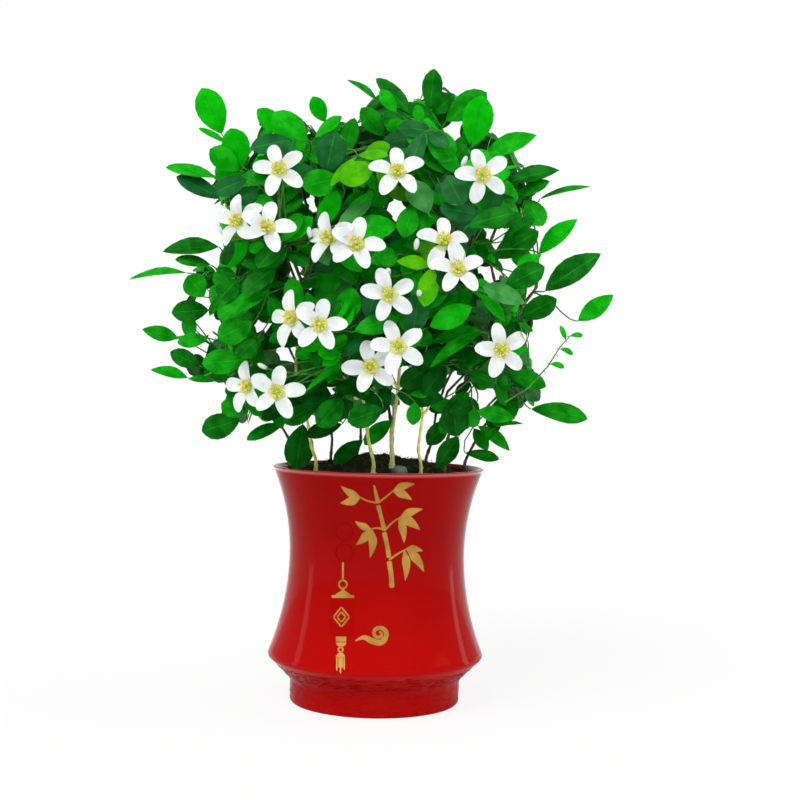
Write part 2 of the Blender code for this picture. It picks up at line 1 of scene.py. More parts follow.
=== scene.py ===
"""The looks of an orange jasmine shrub in flower, in its waisted red glazed pot.

Metres, +Z up, the front towards -Y. The limbs and the crown's spaces follow the same named sizes as the
solids. What has its place in the picture is given in pixels of the 800 by 800 photograph.
"""

import contextlib
import itertools
import math
import random

import bpy
import numpy as np
from mathutils import Matrix, Vector, noise
from mathutils.bvhtree import BVHTree


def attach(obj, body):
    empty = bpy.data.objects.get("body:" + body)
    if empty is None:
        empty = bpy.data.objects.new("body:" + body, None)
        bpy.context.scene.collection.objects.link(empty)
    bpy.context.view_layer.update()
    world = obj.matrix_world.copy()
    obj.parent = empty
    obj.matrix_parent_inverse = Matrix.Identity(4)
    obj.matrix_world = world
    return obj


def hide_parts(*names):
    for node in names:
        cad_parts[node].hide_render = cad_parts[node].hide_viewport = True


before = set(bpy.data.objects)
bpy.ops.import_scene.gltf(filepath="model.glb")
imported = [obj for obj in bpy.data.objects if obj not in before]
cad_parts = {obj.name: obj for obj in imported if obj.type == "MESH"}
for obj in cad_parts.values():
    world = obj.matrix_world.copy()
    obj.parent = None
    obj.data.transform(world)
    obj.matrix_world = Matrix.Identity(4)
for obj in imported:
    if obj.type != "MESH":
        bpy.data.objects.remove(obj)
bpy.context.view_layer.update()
BODY = "root"

# Angles in degrees, up to which edges are smooth
FLAT_SMOOTHING = 30
POT_SMOOTHING = 35
ROUGH_SMOOTHING = 60
SMALL_SMOOTHING = 80

# Camera, with its slight roll, and the picture: its side in pixels and a pixel's size on the pot's axis
CAMERA_PLACE = Vector((0.0, -1.12, 0.251))
CAMERA_AIM = Vector((0.0154, 0.0, 0.2313))
CAMERA_ROLL = math.radians(1.15)
CAMERA_LENS = 65.6
SENSOR = 36.0
PICTURE = 800
PIXEL = 0.00070

# Pot
POT_SIDES = 256
POT_HEIGHT = 0.180
RIM_RADIUS = 0.0808
WAIST_RADIUS = 0.0671
WAIST_HEIGHT = 0.114
BELLY_RADIUS = 0.0824
BELLY_HEIGHT = 0.037
BELLY_ROUNDING = 0.004
FOOT_RADIUS = 0.0650
FOOT_HEIGHT = 0.018
FOOT_ROUNDING = 0.0025
WALL = 0.0038
FLOOR_THICKNESS = 0.012
SHOULDER_TOP = BELLY_HEIGHT - 1.3 * BELLY_ROUNDING
# The belly's turn from the shoulder, in shares of its rounding: how far in and how far down
BELLY_CURVE = ((0.55, 0.95), (0.20, 0.60), (0.03, 0.25))
FOOT_RINGS = 26
SHOULDER_RINGS = 42
BODY_RINGS = 44
LIP_RINGS = 8
INNER_RINGS = 16
DENT_LENGTH = 0.0065
DENT_HEIGHT = 0.0017
DENT_DEPTH = 0.0015
FOOT_DENT_DEPTH = 0.0007
DENT_FADES = (0.0015, 0.002)

# Gilding, in pixels: strokes are rows of column, row and half width
GILT_LIFT = 0.00016
GILT_THICKNESS = 0.0004
STROKE_STEPS = 26
STROKE_GLANCE = 0.01
STROKE_ROUND_END = 1.5
CANE = (
    ((392, 588, 2.6), (391, 574, 2.3), (389, 561, 2.6)),
    ((389, 558, 2.4), (387, 545, 2.1), (384, 532, 2.4)),
    ((384, 529, 2.3), (381, 516, 1.9), (378, 505, 2.2)),
    ((378, 502, 2.0), (376, 494, 1.7), (374, 485, 0.9)),
)
CANE_TWIGS = (
    ((389, 560, 1.0), (399, 553, 0.8), (407, 549, 0.6)),
    ((384, 530, 1.0), (378, 528, 0.8), (371, 529, 0.6)),
    ((384, 531, 1.0), (393, 522, 0.8), (401, 517, 0.6)),
    ((378, 503, 0.9), (368, 501, 0.8), (360, 497, 0.6)),
    ((378, 503, 0.9), (387, 496, 0.8), (394, 490, 0.6)),
)
CANE_LEAVES = (
    ((407, 549), (424, 572), 4.6), ((406, 549), (423, 551), 3.6), ((404, 550), (405, 581), 4.2),
    ((371, 529), (355, 521), 3.6), ((371, 529), (356, 545), 4.4), ((372, 530), (370, 558), 4.2),
    ((401, 517), (423, 509), 4.0), ((400, 517), (420, 530), 4.8), ((399, 518), (404, 543), 4.0),
    ((360, 497), (341, 486), 3.8), ((360, 497), (340, 503), 4.6), ((394, 490), (415, 484), 3.8),
    ((393, 491), (412, 500), 4.2),
)
CANE_LEAF_BEND = 0.06
CANE_LEAF_WIDTHS = ((0.0, 0.12), (0.15, 0.55), (0.38, 1.0), (0.68, 0.66), (1.0, 0.03))
PENDANT_COLUMN = 343
# Rows of the dome's half width and height, of left, right and height, and of the fringe's column and end
DOME = ((1.6, 590.6), (4.2, 592.2), (6.6, 593.8), (7.4, 595.4))
EAVE = ((-10.2, 10.2, 595), (-11.4, 11.2, 596.2), (-10.6, 11.4, 598))
TASSEL_HEAD = ((336, 346.2, 636.6), (336, 346.2, 641.6))
TASSEL_FOOT = ((336, 346.2, 642.4), (336.6, 345.6, 644.6), (338.4, 343.8, 646.4))
TASSEL_TOP = ((339.6, 341.8, 652.4), (337, 344.2, 654.4), (335.9, 345, 656.6))
FRINGE = ((336.9, 671), (339.2, 668), (340.6, 673.8), (342.2, 668), (344.2, 670))
KNOT = (341.5, 617)
KNOT_SIZES = (8.0, 4.2)
KNOT_HEIGHT = 1.25
DIAMOND = ((0, -1), (1, 0), (0, 1), (-1, 0))
PANEL_SIDES = (330.2, 353.4)
PANEL_ROWS = (
    (4.5, 599), (1.4, 600.6), (0.2, 603), (0, 610), (0, 618), (0, 626), (0.2, 632), (1.4, 634.6), (4.5, 636)
)
SEAL_COLUMN = 344
SEAL_ROWS = (532, 553)
CLOUD_MIDDLE = (379, 633.6)
CLOUD_TURNS = 1.45
CLOUD_RADIUS = 8.2
CLOUD_EYE = 1.2
CLOUD_TAIL = ((386.5, 637, 2.6), (381, 642.5, 2.9), (372, 641, 3.0), (364, 637.5, 2.2), (355, 641, 0.5))

# Soil
SOIL_EDGE_HEIGHT = 0.173
SOIL_CENTRE_HEIGHT = 0.182
SOIL_BOTTOM = 0.150
SOIL_GRID = 90
SOIL_BUMP = 0.0024
MOSS_MOUNDS = ((-0.010, 0.012, 0.026, 0.0085), (0.030, 0.004, 0.021, 0.0060), (-0.050, 0.010, 0.018, 0.0035))
MOSS_FROM = 0.0016
CRUMBS = 420
CRUMB_SIZE = (0.0005, 0.0017)
FIBRES = 380
FIBRE_LENGTH = (0.002, 0.0055)
FIBRE_RADII = (0.00022, 0.0002, 0.00015, 0.00006)
PEBBLE_SIZE = (0.0062, 0.0048, 0.0042)
PEBBLE_PLACE = (0.0158, -0.040)
PEBBLE_OUT = 0.043
PEBBLE_LIFT = 0.0020
PEBBLE_LUMPS = 0.16

# Stems of the clump: foot across and back, fork across, back and up, thickness
STEMS = (
    (-0.064, 0.006, -0.084, 0.010, 0.222, 0.0021),
    (-0.047, -0.030, -0.058, -0.046, 0.232, 0.0024),
    (-0.038, 0.034, -0.046, 0.058, 0.238, 0.0022),
    (-0.018, 0.058, -0.014, 0.084, 0.228, 0.0022),
    (-0.004, -0.046, -0.016, -0.060, 0.246, 0.0026),
    (0.010, -0.022, 0.014, -0.026, 0.252, 0.0034),
    (0.010, 0.026, 0.002, 0.034, 0.256, 0.0028),
    (0.031, -0.052, 0.030, -0.076, 0.230, 0.0022),
    (0.038, 0.044, 0.050, 0.068, 0.234, 0.0024),
    (0.050, -0.014, 0.062, -0.020, 0.240, 0.0024),
    (0.067, 0.010, 0.090, 0.014, 0.224, 0.0022),
)
STEM_BARKS = (
    "olive_bark", "pale_bark", "olive_bark", "dark_bark", "pale_bark", "cream_bark",
    "dark_bark", "pale_bark", "olive_bark", "olive_bark", "red_bark",
)
CLEARANCE = 0.0003
FLARE = 1.7
FLARE_HEIGHTS = (0.0, 0.003, 0.009)
FLARE_MIDDLE = 0.35
STEM_SPANS = 4
STEM_SWAY = 0.003
STEM_SWAY_TURNS = 0.75
STEM_LEAN_POWER = 1.25
STEM_TAPER = 0.72
SIDE_BOUGH_AT = 0.25
SIDE_BOUGH_OUT = 2.0
SIDE_BOUGH_RISE = 0.9
SIDE_BOUGH_THICKNESS = 0.8
AIM = 1.6
SMALLEST_GAIN = 0.00001
BOUGH_SPANS = 4
BOUGH_TIP = 0.0012
BOUGH_RISE = 0.40
BOUGH_ARRIVAL = 0.30
BARK_STEP = 0.0011
KNOT_SPACING = 0.013
KNOT_SWELL = 0.26
KNOT_LENGTH = 0.0013
BARK_GRAIN = 0.0016
BARK_RELIEF = 0.00045
THINNEST_BARK = 0.8
FEWEST_BARK_SPANS = 8
WELD = 0.00001
LIMB_MARGIN = 0.0006

# Crown: half sizes of its rounded box, and the rings of masses in it
CROWN_HALF = Vector((0.188, 0.168, 0.151))
CROWN_MIDDLE = Vector((0.0, 0.0, 0.336))
CROWN_POWER = 2.5
CROWN_TOP = 0.4855
CROWN_HEART = Vector((0.0, 0.0, 0.235))
RINGS = (
    ("low", 7, 0.256, 0.122, 0.108, 0.02),
    ("middle", 7, 0.333, 0.136, 0.120, 0.65),
    ("high", 5, 0.402, 0.104, 0.092, 0.30),
    ("top", 2, 0.440, 0.046, 0.040, 2.70),
    ("heart", 1, 0.338, 0.0, 0.0, 0.0),
)
RING_SWAY = 0.008
RING_SWAY_STEP = 2.3
SHOOT_BEHIND = 0.034
SHOOT_AHEAD = 0.032
SHOOT_LIFT = 0.45
SHOOT_ROOT = 0.0012
SHOOT_TIP = 0.0008
SHOOT_KEPT = 0.7
STARTS_TRIED = 12
TWIGS = 4
TWIG_LENGTH = 0.030
TWIG_MARGIN = 1.5
SPACE_OVERRUN = 0.012
GOLDEN_TURN = 2.39996
GOLDEN_SHARE = 0.381966

# Leaves
LEAVES_TRIED = 420
LEAFLETS_WANTED = 128
LEAF_LENGTH = (0.042, 0.070)
SHORTEST_LEAF = 0.016
LEAF_SHORTENING = 0.85
LEAF_LEAN = 38
LEAF_LEAN_MORE = 62
LEAFLET_PLACES = (0.26, 0.42, 0.58, 0.74, 0.89)
LEAFLET_LENGTH = (0.028, 0.039)
LEAFLET_SPREAD = 1.05
LEAFLET_STALK = 0.0016
LEAFLET_COVERS = 0.28
STALK_SPANS = 7
LEAF_SPANS = 6
TWIG_SPANS = 4
LEAF_STALK_ROOT = 0.00072
LEAF_STALK_TIP = 0.00042
BLADE_SEGMENTS = 10
BLADE_SHARES = (0.0, 0.07, 0.20, 0.36, 0.52, 0.68, 0.83, 0.945, 1.0)
BLADE_RINGS = len(BLADE_SHARES) - 1
BLADE_THICKNESS = 0.016
BLADE_COLUMNS = {0: 0.035, 1: 0.52, 2: 1.0}
FACE_SWING = 0.75
FACE_LIFT = (0.05, 0.60)
FACE_LIFT_MORE = 0.8
ALMOST_ALONG = 0.85
FRONT_DEPTH = 0.92
OUTER_DEPTH = 0.35

# Outlines of a leaflet: width, where it is widest, bluntness of the tip, fold, arch, curl and wave
BLADES = {
    "broad": (0.57, 0.56, 0.38, 0.20, 0.10, 0.05, 0.006),
    "pointed": (0.50, 0.49, 0.08, 0.30, 0.12, 0.02, 0.007),
    "round": (0.66, 0.56, 0.46, 0.14, 0.06, 0.08, 0.005),
    "slender": (0.40, 0.48, 0.06, 0.30, 0.10, 0.02, 0.006),
    "arched": (0.52, 0.52, 0.16, 0.14, 0.24, 0.12, 0.008),
}
UNDERSIDES = {
    "bright": "fresh", "fresh": "pale", "mid": "pale", "deep": "pale", "dusky": "deep", "bluish": "pale",
    "young": "fresh", "pale": "pale",
}
MIDRIBS = {
    "bright": "fresh", "fresh": "bright", "mid": "fresh", "deep": "mid", "dusky": "deep", "bluish": "mid",
    "young": "bright", "pale": "fresh",
}

# Painted light and shade of the leaflets: least light for each tone, and how many leaves are of the others
TONES_BY_LIGHT = ((0.86, "bright"), (0.64, "fresh"), (0.38, "mid"), (0.16, "deep"))
PALER_SHARE = 0.16
YOUNG_SHARE = 0.05
YOUNG_FROM = 0.45

# Leaflets that show: tip, base and shown width in pixels, and tone, whose bright, fresh, mid and deep are
# painted light and shade
SHOWN_LEAFLETS = (
    (202, 88, 222, 134, 32, "bright"), (200, 126, 227, 144, 9, "fresh"), (231, 129, 243, 167, 29, "bright"),
    (211, 150, 240, 171, 24, "fresh"), (167, 163, 217, 178, 17, "fresh"),
    (178, 174, 220, 199, 21, "bluish"), (214, 192, 247, 179, 20, "bluish"),
    (163, 247, 219, 247, 21, "deep"), (176, 257, 211, 265, 14, "mid"), (129, 273, 187, 273, 12, "fresh"),
    (188, 276, 204, 297, 24, "mid"), (219, 299, 238, 279, 22, "deep"), (172, 312, 209, 310, 24, "deep"),
    (217, 312, 273, 292, 20, "mid"), (242, 291, 278, 266, 20, "deep"), (143, 329, 178, 338, 17, "mid"),
    (178, 342, 208, 338, 15, "mid"), (152, 367, 188, 378, 13, "fresh"), (171, 352, 200, 366, 18, "deep"),
    (203, 363, 246, 360, 25, "mid"), (190, 377, 217, 381, 8, "mid"), (218, 338, 253, 322, 26, "mid"),
    (238, 357, 257, 338, 18, "deep"), (202, 431, 240, 420, 28, "deep"), (246, 437, 284, 424, 15, "mid"),
    (296, 469, 303, 424, 32, "deep"), (222, 403, 244, 414, 20, "mid"), (258, 109, 286, 135, 21, "bright"),
    (273, 113, 308, 140, 25, "fresh"), (252, 148, 292, 141, 20, "bluish"),
    (313, 97, 325, 122, 18, "bright"), (340, 115, 315, 138, 15, "fresh"),
    (335, 131, 326, 174, 30, "bluish"), (353, 118, 345, 157, 19, "mid"), (350, 77, 378, 102, 10, "mid"),
    (379, 76, 412, 115, 20, "deep"), (381, 90, 396, 112, 14, "fresh"), (362, 108, 384, 136, 22, "mid"),
    (434, 69, 430, 110, 22, "deep"), (486, 92, 446, 121, 29, "mid"), (482, 96, 472, 148, 33, "bright"),
    (535, 132, 485, 156, 23, "fresh"), (558, 166, 507, 183, 20, "deep"), (548, 179, 515, 198, 15, "mid"),
    (590, 182, 540, 199, 9, "mid"), (543, 225, 526, 199, 23, "mid"), (533, 217, 502, 241, 14, "deep"),
    (538, 231, 493, 258, 27, "deep"), (575, 217, 539, 254, 20, "bright"), (518, 265, 541, 255, 13, "fresh"),
    (599, 251, 545, 291, 28, "deep"), (543, 267, 504, 287, 24, "deep"), (484, 286, 524, 304, 20, "pale"),
    (613, 295, 578, 321, 20, "fresh"), (556, 299, 520, 318, 24, "deep"), (588, 415, 531, 409, 23, "mid"),
    (546, 385, 508, 372, 20, "mid"), (514, 418, 477, 411, 17, "mid"), (522, 421, 498, 427, 4, "fresh"),
    (511, 448, 478, 426, 15, "mid"), (499, 457, 465, 453, 13, "mid"), (437, 467, 458, 436, 22, "deep"),
    (333, 462, 363, 440, 18, "deep"), (348, 421, 383, 409, 24, "deep"), (364, 443, 392, 420, 18, "mid"),
    (413, 424, 415, 402, 15, "mid"), (304, 387, 350, 362, 9, "fresh"), (441, 207, 480, 215, 22, "bluish"),
    (513, 212, 467, 227, 21, "deep"), (428, 363, 481, 332, 13, "mid"), (318, 426, 343, 398, 25, "deep"),
    (303, 186, 339, 178, 27, "mid"), (329, 184, 357, 157, 11, "young"), (341, 182, 375, 166, 24, "young"),
    (424, 306, 432, 268, 20, "young"), (408, 168, 424, 132, 18, "bluish"), (452, 160, 430, 128, 26, "mid"),
    (462, 205, 446, 176, 26, "bluish"), (404, 236, 412, 205, 21, "mid"),
)
# The tips of those that end in a point; the others are blunt
POINTED_TIPS = (
    (129, 273), (143, 329), (152, 367), (163, 247), (350, 77), (535, 132), (558, 166), (575, 217), (599, 251),
    (511, 448), (514, 418), (522, 421), (437, 467), (613, 295),
)
# How often such a leaflet is tried, each time a little further forward
SHOWN_TRIED = 10
SHOWN_STEP = 0.0025
ROUND_FROM = 0.62
SLENDER_TO = 0.24
NARROWEST = 0.85
# Leaflets in dusky and deep green, painted shade, that fill in behind them, and how far back they stand
BACK_DEPTH = 0.030
BACK_LEAFLETS = (
    (398, 394, 444, 398, 24, "dusky"), (424, 394, 446, 366, 22, "dusky"), (450, 412, 476, 402, 16, "dusky"),
    (428, 444, 448, 420, 20, "deep"), (441, 432, 460, 408, 20, "mid"), (306, 434, 342, 424, 17, "dusky"),
    (336, 388, 378, 382, 18, "dusky"), (372, 414, 390, 390, 20, "dusky"), (284, 422, 316, 406, 20, "deep"),
    (304, 404, 336, 402, 20, "dusky"), (352, 402, 330, 420, 18, "dusky"), (300, 378, 332, 396, 16, "dusky"),
    (474, 246, 496, 252, 18, "deep"), (480, 264, 500, 256, 12, "dusky"), (497, 224, 522, 214, 16, "deep"),
    (420, 366, 452, 350, 22, "dusky"), (470, 372, 494, 384, 14, "deep"), (222, 414, 252, 402, 18, "deep"),
    (262, 418, 288, 404, 16, "dusky"), (401, 386, 430, 367, 22, "dusky"), (409, 106, 433, 116, 15, "deep"),
)
# The thin shoot of the right side and its small leaflets, tip and base in pixels
SMALL_SHOOT = ((505, 402), (528, 388), (548, 366), (560, 347), (570, 336))
SMALL_LEAFLETS = (
    (584, 334, 570, 336, 6), (561, 326, 566, 340, 6), (575, 353, 560, 349, 7), (546, 345, 556, 355, 6),
    (566, 366, 550, 364, 7), (535, 360, 544, 371, 7),
)
# Small openings that show the sky, column, row and radius in pixels, and how far stalks keep from them
GAP_MARGIN = 6
SKY_GAPS = (
    (310, 203, 5), (399, 209, 6), (497, 237, 7), (512, 234, 5), (490, 273, 5), (512, 270, 4), (213, 262, 4),
    (296, 270, 4), (204, 301, 5), (215, 330, 4), (262, 325, 4), (199, 350, 4), (285, 352, 4), (323, 390, 3),
    (453, 382, 6), (484, 398, 6), (320, 447, 7), (328, 440, 5), (343, 431, 4), (378, 446, 4), (402, 424, 4),
    (405, 442, 6), (423, 432, 4), (423, 444, 5), (466, 441, 5), (455, 129, 5), (535, 283, 5), (534, 300, 5),
)

# The pale stem that leaves hang beside and behind, and how far from its middle they keep, in pixels
OPEN_STEM = 5
OPEN_STEM_REACH = 3

# The crown's edge in the picture, inside which every leaf but the shown ones keeps
CROWN_EDGE = (
    (216, 137), (233, 129), (247, 150), (257, 132), (260, 112), (284, 108), (308, 122), (316, 136),
    (327, 122), (345, 120), (356, 128), (363, 108), (380, 84), (398, 92), (412, 98), (424, 88), (432, 76),
    (446, 86), (472, 86), (486, 100), (488, 130), (510, 138), (516, 152), (538, 168), (548, 186),
    (533, 200), (541, 224), (524, 242), (540, 258), (548, 276), (550, 300), (538, 322), (529, 340),
    (532, 356), (536, 372), (545, 388), (548, 402), (530, 412), (514, 420), (506, 438), (496, 452),
    (480, 456), (462, 458), (440, 464), (428, 440), (418, 436), (408, 418), (398, 420), (388, 436),
    (372, 442), (356, 452), (338, 444), (322, 428), (310, 446), (299, 462), (286, 438), (250, 436),
    (212, 432), (206, 420), (222, 402), (224, 386), (205, 380), (190, 378), (176, 362), (160, 342),
    (176, 318), (184, 300), (186, 276), (196, 262), (218, 254), (222, 238), (214, 212), (204, 190),
    (214, 166), (212, 150),
)

# Blooms seen from the front, one row for each cluster: column, row, how far it stands before the leaves,
# turn of the first petal clockwise from the top, and how far the bloom looks to the right and up
FRONT_BLOOMS = (
    ((280, 170, 0.010, -17, -0.1, 0.1),),
    ((397, 174, 0.010, -3, 0.1, 0.5),),
    ((482, 176, 0.010, -17, 0.1, 0.1),),
    ((241, 222, 0.006, -8, -0.7, 0.2), (267, 229, 0.013, 10, 0.0, 0.3)),
    ((331, 239, 0.006, -8, -0.7, 0.2), (356, 246, 0.013, 10, 0.0, 0.3)),
    ((444, 243, 0.006, -4, 0.1, 0.5), (457, 271, 0.013, -4, 0.1, 0.4)),
    ((389, 295, 0.010, -17, 0.0, 0.0),),
    ((294, 319, 0.006, -8, -0.7, 0.2), (320, 326, 0.013, 10, 0.0, 0.2)),
    ((398, 347, 0.013, -17, 0.0, 0.1), (371, 367, 0.006, -17, -0.1, 0.0)),
    ((500, 350, 0.010, -17, 0.1, 0.0),),
    ((250, 387, 0.006, -8, -0.7, 0.1), (277, 393, 0.013, 10, 0.0, 0.2)),
)
OTHER_BLOOMS = 12
OTHER_BLOOM_FAN = 1.87
OTHER_BLOOM_MARGIN = 0.030
OTHER_BLOOM_SHIFTS = (0.08, -0.08, 0.16, -0.16, 0.24, -0.24, 0.32, -0.32)
BLOOM_LIFT = 0.25
BLOOM_TURNING = 0.22
BLOOM_DEPTH = 0.93
BLOOM_HEIGHTS = (0.275, 0.365, 0.320, 0.415, 0.250)
PETALS = 5
PETAL_LENGTH = 0.0192
PETAL_WIDTH = 0.52
PETAL_LIFT = 0.30
PETAL_THICKNESS = 0.014
PETAL_FOOT = 0.24
# Shares of its length and widths from foot to end
PETAL_OUTLINE = (
    (0.0, 0.0), (0.05, 0.36), (0.16, 0.56), (0.30, 0.80), (0.46, 0.96), (0.62, 1.0), (0.77, 0.91),
    (0.89, 0.68), (0.965, 0.40), (1.0, 0.0),
)
PETAL_RINGS = len(PETAL_OUTLINE) - 1
# The round parts: segments, rings and size
BALLS = {
    "anther": (6, 4, (0.0019, 0.0019, 0.0029)),
    "ovary": (8, 6, (0.0062, 0.0062, 0.0040)),
    "stigma": (8, 5, (0.0028, 0.0028, 0.0016)),
    "bud": (10, 8, (0.42, 0.42, 1.0)),
    "cup": (8, 5, (0.0052, 0.0052, 0.0030)),
}
# Round parts in the middle of a bloom: what they are joined with, and their height
BALLS_ON_AXIS = (("pistil", "ovary", 0.0012), ("pistil", "stigma", 0.0066), ("cup", "cup", -0.0014))
# Parts of a bloom that are joined, each kind apart, and their surfaces
BLOOM_PARTS = {
    "petal": ("petal", "petal_foot"), "filament": ("filament",), "anther": ("anther",), "pistil": ("pistil",),
    "cup": ("leaf_stalk",),
}
STAMENS = 10
STAMEN_LENGTH = (0.0066, 0.0092)
BLOOM_SHOWN = 22
BUD_LENGTH = 0.0095
BLOOM_STALK = (0.00075, 0.00055)
BLOOM_FOOT = 0.0024
FILAMENT_RADII = (0.00030, 0.00026, 0.00018)
STYLE_HEIGHTS = (0.0005, 0.003, 0.0062)
STYLE_RADII = (0.0009, 0.0006, 0.0005)


# Places

def steps(start, end, count):
    return [start + (end - start) * i / count for i in range(count + 1)]


def upward(height):
    return Vector((0.0, 0.0, height))


def scatter(rng, spread):
    """A small step in a direction of chance."""
    return Vector([rng.gauss(0, spread) for _ in "xyz"])


def near(spot, place, reach):
    """True where two pixels lie closer than a reach."""
    return math.hypot(spot[0] - place[0], spot[1] - place[1]) < reach


def camera_turn():
    aimed = (CAMERA_AIM - CAMERA_PLACE).to_track_quat("-Z", "Y").to_matrix()
    return aimed @ Matrix.Rotation(CAMERA_ROLL, 3, "Z")


CAMERA_TURN = camera_turn()
FOCAL = CAMERA_LENS / SENSOR * PICTURE


def seen_at(column, row, depth):
    """The point at a depth that shows at a pixel of the picture."""
    ray = CAMERA_TURN @ Vector((column - PICTURE / 2, PICTURE / 2 - row, -FOCAL))
    return CAMERA_PLACE + ray * ((depth - CAMERA_PLACE.y) / ray.y)


def shown_at(point):
    """Column and row at which a point shows."""
    place = CAMERA_TURN.transposed() @ (Vector(point) - CAMERA_PLACE)
    return PICTURE / 2 - place.x / place.z * FOCAL, PICTURE / 2 + place.y / place.z * FOCAL


def within_edge(column, row):
    """True where a pixel of the picture lies inside the crown's edge."""
    inside = False
    for (a, b), (c, d) in zip(CROWN_EDGE, CROWN_EDGE[1:] + CROWN_EDGE[:1]):
        if (b > row) != (d > row) and column < a + (row - b) / (d - b) * (c - a):
            inside = not inside
    return inside


def crown_front(column, row):
    """The point just under the crown's front that shows at a pixel, or beside it on its widest section."""
    depth = 0.0
    for _ in range(6):
        point = seen_at(column, row, depth)
        across, up = abs(point.x / CROWN_HALF.x), abs((point.z - CROWN_MIDDLE.z) / CROWN_HALF.z)
        share = max(1.0 - across**CROWN_POWER - up**CROWN_POWER, 0.0)
        depth = (depth - CROWN_HALF.y * FRONT_DEPTH * share ** (1 / CROWN_POWER)) / 2
    return seen_at(column, row, depth)


def body_radius(height):
    """Outer radius of the pot between its belly and its rim: one parabola each side of the waist."""
    if height > WAIST_HEIGHT:
        share = (height - WAIST_HEIGHT) / (POT_HEIGHT - WAIST_HEIGHT)
        return WAIST_RADIUS + (RIM_RADIUS - WAIST_RADIUS) * share**2
    share = (WAIST_HEIGHT - height) / (WAIST_HEIGHT - BELLY_HEIGHT)
    return WAIST_RADIUS + (BELLY_RADIUS - WAIST_RADIUS) * share**2


def on_pot(column, row, lift):
    """The point of the pot's front, lifted off the glaze, that shows at a pixel."""
    depth = -WAIST_RADIUS
    for _ in range(8):
        point = seen_at(column, row, depth)
        radius = body_radius(point.z) + lift
        depth = -math.sqrt(max(radius**2 - point.x**2, 0.0))
    return seen_at(column, row, depth)


def soil_height(distance):
    share = min(distance / RIM_RADIUS, 1.0)
    return SOIL_CENTRE_HEIGHT - (SOIL_CENTRE_HEIGHT - SOIL_EDGE_HEIGHT) * share


# Modelling

def deselect_all():
    if bpy.context.mode != "OBJECT":
        bpy.ops.object.mode_set(mode="OBJECT")
    bpy.ops.object.select_all(action="DESELECT")


def named(name):
    piece = bpy.context.object
    piece.name = piece.data.name = name
    return piece


def choose(*pieces):
    """Selects these pieces alone and makes the first of them active."""
    deselect_all()
    for piece in pieces:
        piece.select_set(True)
    bpy.context.view_layer.objects.active = pieces[0]


@contextlib.contextmanager
def editing():
    """Edit mode on the active piece, with all of it selected."""
    bpy.ops.object.mode_set(mode="EDIT")
    bpy.ops.mesh.select_all(action="SELECT")
    yield
    bpy.ops.object.mode_set(mode="OBJECT")


def joined(pieces, name):
    choose(*pieces)
    bpy.ops.object.join()
    return named(name)


def smooth(piece, angle):
    choose(piece)
    bpy.ops.object.shade_smooth_by_angle(angle=math.radians(angle))


def apply_modifiers(piece):
    choose(piece)
    for modifier in list(piece.modifiers):
        bpy.ops.object.modifier_apply(modifier=modifier.name)


def fix_normals(piece):
    choose(piece)
    with editing():
        bpy.ops.mesh.normals_make_consistent(inside=False)


def surfaced(piece, *surfaces):
    piece.data.materials.clear()
    for surface in surfaces:
        piece.data.materials.append(surface)
    return piece


def second_surface(piece, rule):
    """Gives a piece's second surface to the faces that a rule picks."""
    for face in piece.data.polygons:
        face.material_index = int(rule(face))


def settle(piece, angle, slot, *nodes):
    """Smooths a finished piece and puts it on the plant's body, in place of the solids that it stands for."""
    smooth(piece, angle)
    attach(piece, BODY)
    if nodes:
        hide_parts(*nodes)


def drawn_up(name, rings, sides):
    """A circle drawn up ring by ring through radii and heights, closed at both ends."""
    deselect_all()
    radius, height = rings[0]
    bpy.ops.mesh.primitive_circle_add(
        vertices=sides, radius=radius, fill_type="NGON", location=(0, 0, height)
    )
    piece = named(name)
    bpy.ops.object.transform_apply(location=True)
    with editing():
        for next_radius, next_height in rings[1:]:
            rise = {"value": (0.0, 0.0, next_height - height)}
            bpy.ops.mesh.extrude_region_move(TRANSFORM_OT_translate=rise)
            grow = next_radius / radius
            bpy.ops.transform.resize(value=(grow, grow, 1.0), center_override=(0.0, 0.0, next_height))
            radius, height = next_radius, next_height
    fix_normals(piece)
    return piece


def strip(name, place, along, across):
    """A thin-walled grid laid out by a rule from two shares, 0 to 1 along and -1 to 1 across."""
    deselect_all()
    bpy.ops.mesh.primitive_grid_add(x_subdivisions=along, y_subdivisions=across, size=2)
    piece = named(name)
    for vert in piece.data.vertices:
        vert.co = place((vert.co.x + 1) / 2, vert.co.y)
    wall = piece.modifiers.new("Wall", "SOLIDIFY")
    wall.thickness = GILT_THICKNESS
    wall.offset = 0.0
    apply_modifiers(piece)
    fix_normals(piece)
    return piece


def along_line(knots, share):
    """A smooth value along rows of numbers."""
    place = share * (len(knots) - 1)
    i = min(int(place), len(knots) - 2)
    t = place - i
    k = [np.array(knots[min(max(j, 0), len(knots) - 1)], float) for j in range(i - 1, i + 3)]
    return 0.5 * (
        2 * k[1] + (k[2] - k[0]) * t + (2 * k[0] - 5 * k[1] + 4 * k[2] - k[3]) * t**2
        + (3 * k[1] - k[0] - 3 * k[2] + k[3]) * t**3
    )


def point_along(line, share):
    return Vector(along_line(line, share))


def stroke(name, knots, along=STROKE_STEPS):
    """A brush stroke on the pot's front, with rounded ends."""

    def place(share, side):
        column, row, half = along_line(knots, share)
        behind = along_line(knots, max(share - STROKE_GLANCE, 0.0))
        ahead = along_line(knots, min(share + STROKE_GLANCE, 1.0)) - behind
        length = math.hypot(ahead[0], ahead[1]) or 1.0
        end = min(share, 1.0 - share) * along
        half *= math.sqrt(min(end / STROKE_ROUND_END, 1.0)) * 0.9 + 0.1
        across, down = -ahead[1] / length * half * side, ahead[0] / length * half * side
        return on_pot(column + across, row + down, GILT_LIFT)

    return strip(name, place, along, 2)


# Shader groups

